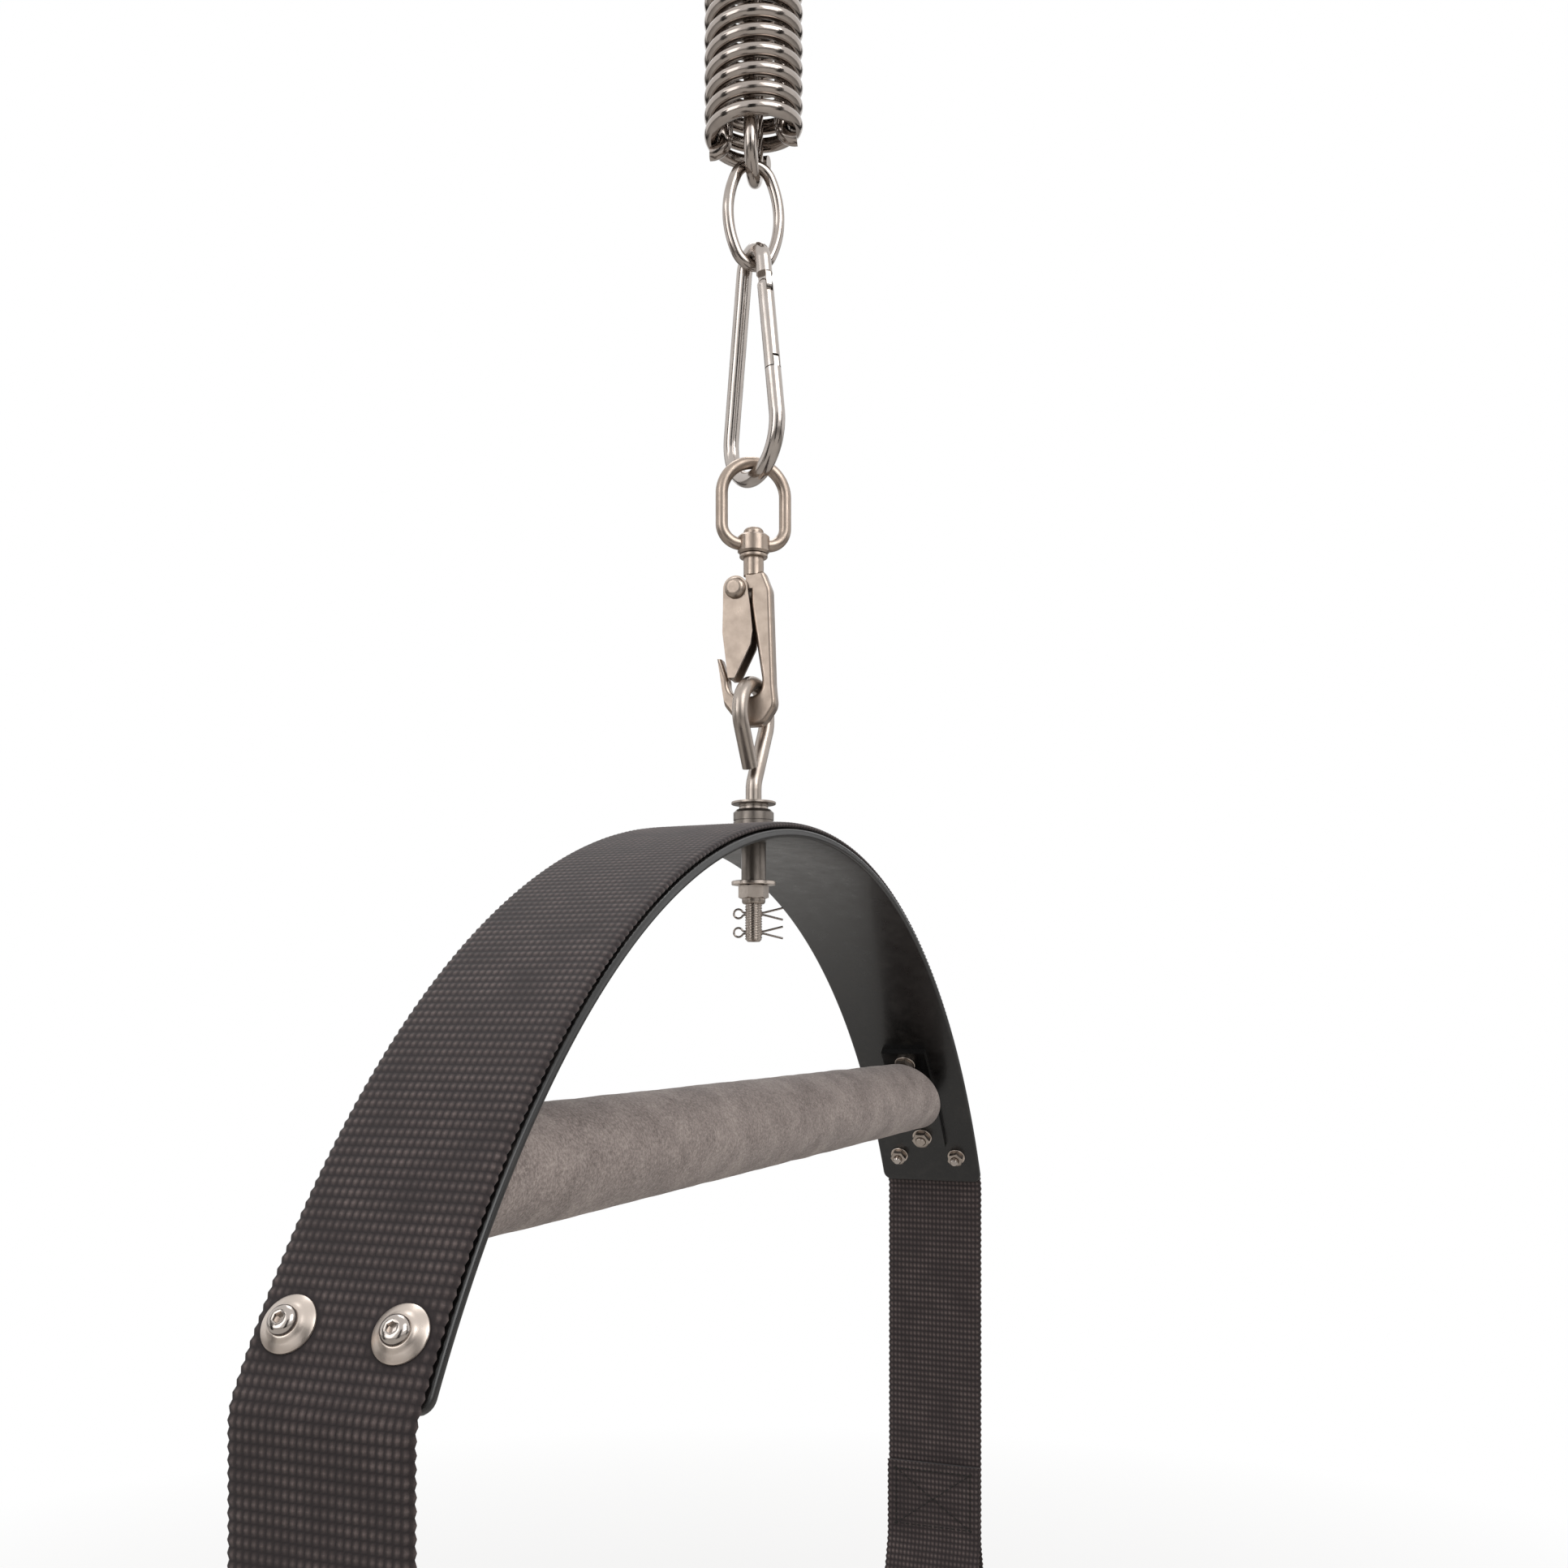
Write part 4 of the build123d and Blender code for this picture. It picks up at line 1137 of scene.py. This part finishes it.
def set_fasteners(
    name: str,
    levels: Sequence[Ring],
    bored: bool,
    places: Sequence[tuple[Vector, Vector]],
    dress: bpy.types.Material,
    tree: bpy.types.NodeTree,
    node: str,
) -> bpy.types.Object:
    """Makes one fastener and sets it at each of its places on the frame.

    Args:
        name: the piece's name.
        levels: the fastener's levels.
        bored: whether it has a bore.
        places: each one's place and facing.
        dress: its material.
        tree: the tree that sets fasteners.
        node: the CAD node that they replace.

    Returns:
        The piece.
    """
    one = turned(name + "_pattern", levels, bored, dress)
    piece = new_piece(name, [place for place, _ in places])
    facing = piece.data.attributes.new("facing", "FLOAT_VECTOR", "POINT")
    facing.data.foreach_set("vector", [c for _, way in places for c in way])
    grow(piece, tree, {"Fastener": one, "Spin": 2 * pi, "Seed": 5, "Material": dress})
    bpy.data.objects.remove(one)
    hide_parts(node)
    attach(piece, "frame")
    log.info("%s: %d faces", name, len(piece.data.polygons))
    return piece


@dataclass
class Spreader:
    """The turning arch: enamelled strip, its webbing and their fasteners."""

    finishes: Finishes
    bolts: StrapBolts = field(default_factory=StrapBolts)
    webbing: Webbing = field(default_factory=Webbing)
    corner_steps: int = 5
    spans: int = 150
    edge_radius: float = 1.1 * MM
    end_softness: float = 0.5 * MM
    spigot: float = 4.6  # mm, of the bush through the strip
    collar: float = 7.7  # mm, of the bush through the webbing
    bar_screw_gap: float = 25.4 * MM
    bar_drop: float = 105.0 * MM
    press_radius: float = 9.4 * MM  # webbing round a cup washer that its edge flattens
    press_fade: float = 1.8 * MM

    def strip(self) -> bpy.types.Object:
        """Makes the enamelled strip with rounded edges and corners.

        Returns:
            The piece.
        """
        # close steps round each end's corners, then even ones between
        inset = [d * MM for d in (0.0, 0.12, 0.4, 0.9, 1.6, 2.4, 3.2, 4.0)]
        total = 2 * ARCH.half_angle * ARCH.radius
        even = (total - 2 * inset[-1]) / self.spans
        middle = [inset[-1] + even * k for k in range(1, self.spans)]
        distances = inset + middle + [total - d for d in reversed(inset)]
        section = self.section()
        points = []
        for distance in distances:
            angle = distance / ARCH.radius - ARCH.half_angle
            end = min(distance, total - distance)
            corner = ARCH.strip_corner
            lost = corner - sqrt(max(0.0, corner**2 - max(0.0, corner - end) ** 2))
            thin = self.end_softness * (1 - min(1.0, end / (0.8 * self.end_softness))) ** 2
            for across, height in section:
                wide = across - lost * (1 if across > 0 else -1)
                tall = height - thin * (1 if height > 0 else -1)
                radius = ARCH.radius + ARCH.strip_thick / 2 + tall
                points.append(ARCH.point(angle, radius, wide))
        ring = len(section)
        faces = wrapped(len(distances), ring)
        last = (len(distances) - 1) * ring
        faces += [tuple(range(ring)), tuple(range(last, last + ring))]
        piece = new_piece(
            "enamelled_strip", points, faces, dress=self.finishes.enamel, smooth=False
        )
        face_outwards(piece)
        cut_away(piece, drill("strip_drill", self.spigot, ARCH.point(0, ARCH.radius)))
        crisp(piece)
        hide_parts("arch_strip")
        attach(piece, "frame")
        return piece

    def section(self) -> list[tuple[float, float]]:
        """Outline of the strip's cross section, across and out from its middle.

        Returns:
            The outline's points, in order.
        """
        wide, tall = ARCH.strip_width / 2, ARCH.strip_thick / 2
        outline = []
        for quarter, (a, b) in enumerate(((1, 1), (-1, 1), (-1, -1), (1, -1))):
            for k in range(self.corner_steps + 1):
                angle = pi / 2 * (quarter + k / self.corner_steps)
                outline.append(
                    (
                        a * (wide - self.edge_radius) + self.edge_radius * cos(angle),
                        b * (tall - self.edge_radius) + self.edge_radius * sin(angle),
                    )
                )
        return outline

    def pressed(self, along: float, across: float) -> float:
        """How flat the cup washers and the collar press the arch's webbing.

        Args:
            along: the distance along the webbing from its left end.
            across: the distance from its middle line.

        Returns:
            The share, from 0 to 1.
        """
        radius = ARCH.outer + ARCH.webbing_thick / 2
        angle = along / radius - ARCH.half_angle
        share = 0.0
        for side in Side:
            for row in (-1, 1):
                gap = hypot(
                    (angle - side.value * self.bolts.angle) * radius,
                    across - row * self.bolts.pitch / 2,
                )
                share = max(share, min(1.0, (self.press_radius - gap) / self.press_fade))
        return max(0.0, share)

    def cover(self) -> bpy.types.Object:
        """Makes the webbing that lies along the strip.

        Returns:
            The piece.
        """
        radius = ARCH.outer + ARCH.webbing_thick / 2 + WEBBING_GAP
        length = 2 * ARCH.half_angle * radius
        count = round(length / self.webbing.rib * self.webbing.samples_along)
        steps = []
        for k in range(count + 1):
            angle = ARCH.half_angle * (2 * k / count - 1)
            steps.append(Step(ARCH.point(angle, radius), ARCH.facing(angle), length * k / count))
        piece = self.webbing.ribbon(
            "arch_cover", steps, self.finishes.webbing, plain_back=True, pressed=self.pressed
        )
        cut_away(piece, drill("cover_drill", self.collar, ARCH.point(0, ARCH.outer)))
        crisp(piece, radians(70))
        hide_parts("arch_webbing")
        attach(piece, "frame")
        log.info("arch_cover: %d faces, %.3f m long", len(piece.data.polygons), length)
        return piece

    def bar_fasteners(self, tree: bpy.types.NodeTree) -> None:
        """Makes the screws, washers and nuts of the bar's end plates.

        Args:
            tree: the tree that sets fasteners.
        """
        middle = acos((ARCH.radius - self.bar_drop) / ARCH.radius)
        step = self.bar_screw_gap / ARCH.radius
        places = [
            (ARCH.point(side.value * angle, ARCH.outer), ARCH.facing(side.value * angle))
            for side in Side
            for angle in (middle - step, middle + step)
        ]
        screw = [
            Ring(2.0, -11.44),
            Ring(2.5, -10.9),
            Ring(2.5, -2.3),
            Ring(4.15, -0.65),
            Ring(4.2, -0.45),
            Ring(4.1, -0.4),
            Ring(1.5, -0.4, hexagon=True),
            Ring(1.5, -2.2, hexagon=True),
        ]
        washer = washer_levels(5.0, 2.6, -6.044, -7.044)
        nut = nut_levels(4.0, 2.5, -7.044, -10.244)
        bolt, plain = self.finishes.bolt, self.finishes.washer
        set_fasteners("bar_screw_heads", screw, False, places, bolt, tree, "bar_screws")
        set_fasteners("bar_washer_rings", washer, True, places, plain, tree, "bar_washers")
        set_fasteners("bar_nut_hexagons", nut, True, places, bolt, tree, "bar_nuts")

    def make(self, tree: bpy.types.NodeTree) -> None:
        """Makes the whole spreader.

        Args:
            tree: the tree that sets fasteners.
        """
        self.strip()
        self.cover()
        self.bolts.make(self.finishes, tree)
        self.bar_fasteners(tree)


def drill(name: str, radius_mm: float, place: Vector) -> bpy.types.Object:
    """Makes an upright round cutter, to be cut away from a piece.

    Args:
        name: its name.
        radius_mm: its radius, in millimetres.
        place: its middle.

    Returns:
        The cutter.
    """
    piece = turned(name, [Ring(radius_mm, -20.0), Ring(radius_mm, 20.0)], False)
    for corner in piece.data.vertices:
        corner.co += place
    return piece


@dataclass
class StrapTail:
    """A strap from the arch's end down to its sewn loop."""

    side: Side
    finishes: Finishes
    webbing: Webbing = field(default_factory=Webbing)
    bend_radius: float = 14.0 * MM
    lap: float = 37.0 * MM
    press: float = 0.06 * MM
    loop_width: float = 14.0 * MM
    flare: float = radians(18.0)
    flare_radius: float = 20.0 * MM
    thread: float = 0.32 * MM
    stitch: float = 3.0 * MM
    seam_inset: float = 5.0 * MM
    seam_end: float = 4.0 * MM
    thread_rise: float = 0.1 * MM

    def line(self) -> tuple[list[Step], float, float, float]:
        """Walks the strap's middle line, from the arch down, round the loop and up again.

        Returns:
            The steps, the lap's top and bottom heights, and the line where it hangs.
        """
        radius = ARCH.outer + ARCH.webbing_thick / 2 + WEBBING_GAP
        start = ARCH.point(ARCH.half_angle, radius)
        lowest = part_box(self.side.node)[0][2]
        half_lap = self.webbing.thick / 2 - self.press
        loop_radius = (self.loop_width + self.webbing.thick) / 2
        out = half_lap + self.flare_radius * (1 - cos(self.flare))
        run = (loop_radius * cos(self.flare) - out) / sin(self.flare)
        drop = (
            self.flare_radius * sin(self.flare)
            + run * cos(self.flare)
            + loop_radius * sin(self.flare)
        )
        loop_height = lowest + loop_radius + self.webbing.thick / 2
        lap_bottom = loop_height + drop
        lap_top = lap_bottom + self.lap
        turn = pi / 2 - ARCH.half_angle
        bent = start.z - self.bend_radius * sin(turn)
        # each run is its length and how far it turns the strap, clockwise positive
        runs = [
            (self.bend_radius * turn, turn),
            (bent - lap_bottom, 0.0),
            (self.flare_radius * self.flare, -self.flare),
            (run, 0.0),
            (loop_radius * (pi + 2 * self.flare), pi + 2 * self.flare),
            (run, 0.0),
            (self.flare_radius * self.flare, -self.flare),
            (self.lap, 0.0),
        ]
        total = sum(length for length, _ in runs)
        count = round(total / self.webbing.rib * self.webbing.samples_along)
        stride = total / count
        place, heading = start.copy(), -ARCH.half_angle
        steps, walked, index, within = [], 0.0, 0, 0.0
        for _ in range(count + 1):
            facing = Vector((-sin(heading), 0.0, cos(heading)))
            steps.append(Step(self.mirrored(place), self.mirrored(facing), walked))
            left = stride
            while left > 1e-9 and index < len(runs):
                length, turned_by = runs[index]
                part = min(left, length - within)
                bend = turned_by / length * part
                heading -= bend / 2
                chord = part if abs(bend) < 1e-9 else part * sin(bend / 2) / (bend / 2)
                place += Vector((cos(heading), 0.0, sin(heading))) * chord
                heading -= bend / 2
                left -= part
                within += part
                walked += part
                if within > length - 1e-9:
                    index, within = index + 1, 0.0
        hang = start.x + self.bend_radius * (1 - cos(turn))
        return steps, lap_top, lap_bottom, hang

    def mirrored(self, place: Vector) -> Vector:
        """Turns a place on the right strap to this strap's side.

        Args:
            place: a point or direction.

        Returns:
            The point or direction on this side.
        """
        return Vector((place.x * self.side.value, place.y, place.z))

    def seams(self, lap_top: float, lap_bottom: float, hang: float) -> bpy.types.Object:
        """Draws and sews the crossed box that holds the lap.

        Args:
            lap_top: the lap's top.
            lap_bottom: its bottom.
            hang: the distance of the strap's outer layer from the middle.

        Returns:
            The stitches.
        """
        half = self.webbing.width / 2 - self.seam_inset
        high, low = lap_top - self.seam_end, lap_bottom + self.seam_end
        inner = hang - self.webbing.thick + 2 * self.press
        shift = self.webbing.thick / 2 + self.thread_rise
        points, edges = [], []
        for face in (hang + shift, inner - shift):
            corners = [(-half, high), (half, high), (half, low), (-half, low)]
            seams = [(0, 1), (1, 2), (2, 3), (3, 0), (0, 2), (1, 3)]
            for a, b in seams:
                edges.append((len(points), len(points) + 1))
                for across, height in (corners[a], corners[b]):
                    points.append(self.mirrored(Vector((face, across, height))))
        name = f"{self.side.name.lower()}_lap_stitches"
        piece = new_piece(name, points, edges=edges)
        return grow(
            piece,
            stitches_tree(),
            {"Pitch": self.stitch, "Thread": self.thread, "Material": self.finishes.thread},
        )

    def make(self) -> None:
        """Makes the strap and its stitches."""
        steps, lap_top, lap_bottom, hang = self.line()
        name = f"{self.side.name.lower()}_strap_tail"
        piece = self.webbing.ribbon(name, steps, self.finishes.webbing)
        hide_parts(self.side.node)
        stitches = self.seams(lap_top, lap_bottom, hang)
        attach(stitches, self.side.body)
        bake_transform(piece)


@dataclass
class GrabBar:
    """Foam sleeve on the bar's tube."""

    finishes: Finishes
    outside: float = 17.0 * MM
    tube: float = 9.0 * MM
    setback: float = 12.0 * MM
    rings: int = 150
    sides: int = 96
    swell: float = 55.0  # waves per metre of the sleeve's slow unevenness
    ripple: float = 260.0  # waves per metre of its quick one

    def make(self) -> None:
        """Makes the sleeve, cut to the arch at both ends."""
        height = sum(corner[2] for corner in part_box("foam_sleeve")) / 2
        reach = ARCH.radius - self.setback
        # each level: the share of the length, and how far the surface is inside the outside
        levels = [(2 * k / self.rings - 1, 0.0) for k in range(1, self.rings)]
        soft = [(0.9968, 0.0), (0.9984, 0.25), (0.9994, 0.8), (1.0, 1.7)]
        levels = [(-x, d) for x, d in reversed(soft)] + levels + soft
        inside = (self.outside - self.tube) / MM - 0.05
        levels += [(1.0, inside), (0.0, inside), (-1.0, inside)]
        points = []
        for share, depth in levels:
            for k in range(self.sides):
                angle = 2 * pi * k / self.sides
                radius = self.outside - depth * MM
                across, rise = radius * cos(angle), radius * sin(angle)
                end = sqrt(reach**2 - (height + rise - ARCH.centre) ** 2)
                along = share * end
                if depth < inside:
                    place = Vector((along, across, rise))
                    swell = noise.noise(place * self.swell)
                    ripple = noise.noise(place * self.ripple)
                    radius += (0.28 * swell + 0.07 * ripple - 0.2) * MM
                    across, rise = radius * cos(angle), radius * sin(angle)
                points.append(Vector((along, across, height + rise)))
        faces = wrapped(len(levels), self.sides, closed=True)
        piece = new_piece("foam_grip", points, faces, dress=self.finishes.foam, smooth=False)
        face_outwards(piece)
        crisp(piece, radians(50))
        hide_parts("foam_sleeve")
        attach(piece, "frame")
        log.info("foam_grip: %d faces", len(piece.data.polygons))


@dataclass
class DrawbarSpring:
    """Close-wound coil between two bent drawbars."""

    finishes: Finishes
    pitch: float = 7.0 * MM
    turns: int = 13
    outside: float = 18.5 * MM
    wire: float = 2.65 * MM
    stretch: float = 16.0 * MM
    top: float = -18.0 * MM  # the wire's middle at the coil's upper end

    def make(self, tree: bpy.types.NodeTree) -> None:
        """Makes the coil.

        Args:
            tree: the tree that winds wire.
        """
        height = self.pitch * self.turns
        foot = self.top - height
        piece = grow(
            new_piece("drawbar_coil", [(0, 0, 0)]),
            tree,
            {
                "Turns": float(self.turns),
                "Radius": self.outside - self.wire,
                "Height": height,
                "Wire Radius": self.wire,
                "Steps": 72,
                "Sides": 24,
                "Foot": (0.0, 0.0, foot),
                "Material": self.finishes.spring,
            },
        )
        crisp(piece)
        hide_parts("spring_coil")
        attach(piece, "hanger")
        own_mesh(piece)


@dataclass
class BoltStack:
    """Everything turned on the eye bolt: washers, nut and the bolt's thread."""

    finishes: Finishes
    thread_pitch: float = 1.0 * MM
    thread_middle: float = 2.86 * MM
    thread_depth: float = 0.42 * MM
    thread_start: float = 0.8 * MM
    thread_margin: float = 1.2 * MM

    def ring(
        self, name: str, levels: Sequence[Ring], dress: bpy.types.Material, body: str, node: str
    ) -> None:
        """Makes one ring of the stack.

        Args:
            name: the piece's name.
            levels: its levels, in millimetres in the frame.
            dress: its material.
            body: the body that it rides on.
            node: the CAD node that it replaces.
        """
        piece = turned(name, levels, True, dress, steps=72)
        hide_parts(node)
        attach(piece, body)

    def make(self, tree: bpy.types.NodeTree) -> None:
        """Makes the stack.

        Args:
            tree: the tree that winds wire.
        """
        low, high = (corner[2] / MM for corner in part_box("head_washers"))
        edge = 0.2
        washer = [
            Ring(3.0, low),
            Ring(5.5, low),
            Ring(5.5, low + 0.75),
            Ring(5.1, low + 0.85),
            Ring(5.1, low + 1.0),
            Ring(5.5, low + 1.1),
            Ring(5.5, high - 1.0),
            Ring(8.4 - edge, high - 1.0),
            Ring(8.4, high - 1.0 + edge),
            Ring(8.4, high - edge),
            Ring(8.4 - edge, high),
            Ring(3.0, high),
        ]
        self.ring("neck_washer_stack", washer, self.finishes.bolt, "eye", "head_washers")
        low, high = (corner[2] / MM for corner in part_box("thrust_washer"))
        self.ring(
            "thrust_washer_ring",
            washer_levels(8.35, 3.0, high, low),
            self.finishes.washer,
            "eye",
            "thrust_washer",
        )
        low, high = (corner[2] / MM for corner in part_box("locknut"))
        nut = [
            Ring(3.0, low),
            Ring(3.7, low),
            Ring(4.2, low + 0.35),
            Ring(4.4, low + 1.0),
            Ring(4.4, low + 2.0),
            Ring(4.75, low + 2.1),
            Ring(5.0, low + 2.15, hexagon=True, chamfer=0.5),
            Ring(5.0, high - 0.1, hexagon=True, chamfer=-0.5),
            Ring(4.75, high),
            Ring(3.0, high),
        ]
        self.ring("locknut_hexagon", nut, self.finishes.bolt, "eye", "locknut")
        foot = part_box("eye_bolt")[0][2]
        height = low * MM - foot - self.thread_margin
        thread = grow(
            new_piece("bolt_thread", [(0, 0, 0)]),
            tree,
            {
                "Turns": height / self.thread_pitch,
                "Radius": self.thread_middle,
                "Height": height,
                "Wire Radius": self.thread_depth,
                "Steps": 40,
                "Sides": 4,
                "Foot": (0.0, 0.0, foot + self.thread_start),
                "Material": self.finishes.bolt,
            },
        )
        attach(thread, "eye")


@dataclass
class Chain:
    """The metal pieces that keep their CAD shape and get their finish."""

    finishes: Finishes

    def make(self) -> None:
        """Gives each node its finish."""
        dresses = {
            self.finishes.spring: ["upper_drawbar", "lower_drawbar", "oval_link", "split_pins",
                                   "carabiner_gate_spring", "snap_gate_spring"],
            self.finishes.polished: ["carabiner_body", "carabiner_gate", "carabiner_gate_pin",
                                     "carabiner_gate_plunger"],
            self.finishes.satin: ["swivel_bow", "hook_body", "gate_rivet", "swivel_washer",
                                  "snap_gate"],
            self.finishes.bolt: ["eye_bolt"],
            self.finishes.bush: ["collar_bush"],
            self.finishes.enamel: ["bar_frame"],
        }
        for dress, nodes in dresses.items():
            for node in nodes:
                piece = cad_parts[node]
                for slot in piece.material_slots:
                    slot.material = dress
        log.info("dressed %d nodes", sum(len(nodes) for nodes in dresses.values()))


# ---------------------------------------------------------------- studio
@dataclass
class Studio:
    """Pale floor, soft lamps, dark cards that the metal reflects, and the view."""

    camera_place: tuple[float, float, float] = (-0.5474, -0.2166, -0.43524)
    camera_heading: float = atan2(0.930, 0.368)  # from +Y towards +X
    lens: float = 36.06
    shift: tuple[float, float] = (0.0194, 0.1456)
    floor_drop: float = 0.06
    lamps: list[tuple[float, float, float, float, float]] = field(
        default_factory=lambda: [
            # azimuth and elevation from the object, distance, size and power
            (-115.0, 35.0, 1.9, 1.3, 17.0),
            (150.0, 20.0, 2.2, 1.4, 12.0),
            (30.0, 65.0, 1.8, 1.0, 9.0),
        ]
    )
    cards: list[tuple[float, float, float]] = field(
        default_factory=lambda: [
            # azimuth, distance and width of each dark card
            (-95.0, 1.1, 0.28),
            (135.0, 1.1, 0.3),
            (-15.0, 1.2, 0.22),
            (62.0, 1.2, 0.22),
            (-160.0, 1.3, 0.42),
        ]
    )

    def world(self) -> None:
        """Lights the world plainly and shows white behind the object."""
        world = bpy.data.worlds.new("studio_air")
        world.use_nodes = True
        bpy.context.scene.world = world
        tree = world.node_tree
        tree.nodes.clear()
        rays = add_node(tree, "ShaderNodeLightPath")
        seen = add_node(
            tree,
            "ShaderNodeMath",
            {0: rays.outputs["Is Camera Ray"], 1: rays.outputs["Is Glossy Ray"]},
            operation="MAXIMUM",
        )
        shown = add_node(
            tree,
            "ShaderNodeMath",
            {0: seen.outputs[0], 1: rays.outputs["Is Transmission Ray"]},
            operation="MAXIMUM",
        )
        level = add_node(
            tree,
            "ShaderNodeMapRange",
            {"Value": shown.outputs[0], "To Min": 0.42, "To Max": 1.0},
        )
        air = add_node(
            tree,
            "ShaderNodeBackground",
            {"Color": linear("FFFFFF"), "Strength": level.outputs[0]},
        )
        add_node(tree, "ShaderNodeOutputWorld", {"Surface": air.outputs[0]})

    def floor(self) -> None:
        """Lays a pale floor that shows white and keeps the object's shadow."""
        height = CAD_BOX[0][2] - self.floor_drop
        reach = 30.0
        corners = [(-reach, -reach), (reach, -reach), (reach, reach), (-reach, reach)]
        material = bpy.data.materials.new("pale_floor")
        material.use_nodes = True
        tree = material.node_tree
        tree.nodes.clear()
        rays = add_node(tree, "ShaderNodeLightPath")
        matt = add_node(tree, "ShaderNodeBsdfDiffuse", {"Color": linear("DAD7D3")})
        glow = add_node(tree, "ShaderNodeEmission", {"Color": linear("FFFFFF"), "Strength": 1.0})
        place = add_node(tree, "ShaderNodeTexCoord").outputs["Object"]
        away = add_node(tree, "ShaderNodeVectorMath", {0: place}, operation="LENGTH")
        pale = add_node(
            tree,
            "ShaderNodeMapRange",
            {
                "Value": away.outputs["Value"],
                "From Min": 0.82,
                "From Max": 1.15,
                "To Min": 0.7,
                "To Max": 1.0,
            },
        )
        share = add_node(
            tree,
            "ShaderNodeMath",
            {0: rays.outputs["Is Camera Ray"], 1: pale.outputs[0]},
            operation="MULTIPLY",
        )
        both = add_node(
            tree,
            "ShaderNodeMixShader",
            {0: share.outputs[0], 1: matt.outputs[0], 2: glow.outputs[0]},
        )
        add_node(tree, "ShaderNodeOutputMaterial", {"Surface": both.outputs[0]})
        piece = new_piece(
            "studio_floor",
            [(x, y, height) for x, y in corners],
            [(0, 1, 2, 3)],
            dress=material,
            smooth=False,
        )

    def around(self, azimuth: float, elevation: float, distance: float) -> Vector:
        """Place round the object's middle.

        Args:
            azimuth: degrees from +X towards +Y.
            elevation: degrees above level.
            distance: the distance from the middle.

        Returns:
            The place.
        """
        a, e = radians(azimuth), radians(elevation)
        middle = Vector((0, 0, (CAD_BOX[0][2] + CAD_BOX[1][2]) / 2))
        return middle + Vector((cos(e) * cos(a), cos(e) * sin(a), sin(e))) * distance

    def light(self) -> None:
        """Hangs the soft lamps and stands the dark cards."""
        middle = self.around(0, 0, 0)
        for number, (azimuth, elevation, distance, size, power) in enumerate(self.lamps):
            lamp = bpy.data.lights.new(f"soft_lamp_{number}", "AREA")
            lamp.shape = "SQUARE"
            lamp.size = size
            lamp.energy = power
            stand = bpy.data.objects.new(lamp.name, lamp)
            stand.location = self.around(azimuth, elevation, distance)
            way = middle - stand.location
            stand.rotation_euler = way.to_track_quat("-Z", "Y").to_euler()
            bpy.context.scene.collection.objects.link(stand)
        black = bpy.data.materials.new("dark_card")
        black.use_nodes = True
        shader = black.node_tree.nodes["Principled BSDF"]
        shader.inputs["Base Color"].default_value = linear("15110F")
        shader.inputs["Roughness"].default_value = 0.9
        for number, (azimuth, distance, width) in enumerate(self.cards):
            place = self.around(azimuth, 0, distance)
            across = Vector((-sin(radians(azimuth)), cos(radians(azimuth)), 0)) * width / 2
            tall = Vector((0, 0, 0.75))
            piece = new_piece(
                f"dark_card_{number}",
                [place - across - tall, place + across - tall, place + across + tall,
                 place - across + tall],
                [(0, 1, 2, 3)],
                dress=black,
                smooth=False,
            )
            piece.visible_camera = False
            piece.visible_diffuse = False
            piece.visible_shadow = False
            piece.visible_transmission = False

    def view(self) -> None:
        """Sets the camera."""
        lens = bpy.data.cameras.new("view")
        lens.sensor_width = 36.0
        lens.lens = self.lens
        lens.shift_x, lens.shift_y = self.shift
        lens.clip_start = 0.01
        lens.clip_end = 100.0
        camera = bpy.data.objects.new("view", lens)
        camera.location = self.camera_place
        camera.rotation_euler = (pi / 2, 0, -self.camera_heading)
        bpy.context.scene.collection.objects.link(camera)
        bpy.context.scene.camera = camera
        bpy.context.scene.view_settings.view_transform = "Standard"

    def make(self) -> None:
        """Builds the studio."""
        self.view()
        self.world()
        self.floor()
        self.light()


def main() -> None:
    """Builds every sub-assembly in order."""
    logging.basicConfig(level=logging.INFO, format="%(name)s: %(message)s")
    Studio().make()
    finishes = Finishes()
    wound, fastened = coiled_wire_tree(), fasteners_tree()
    Spreader(finishes).make(fastened)
    for side in Side:
        StrapTail(side, finishes).make()
    GrabBar(finishes).make()
    DrawbarSpring(finishes).make(wound)
    BoltStack(finishes).make(wound)
    Chain(finishes).make()


if __name__ == "__main__":
    main()
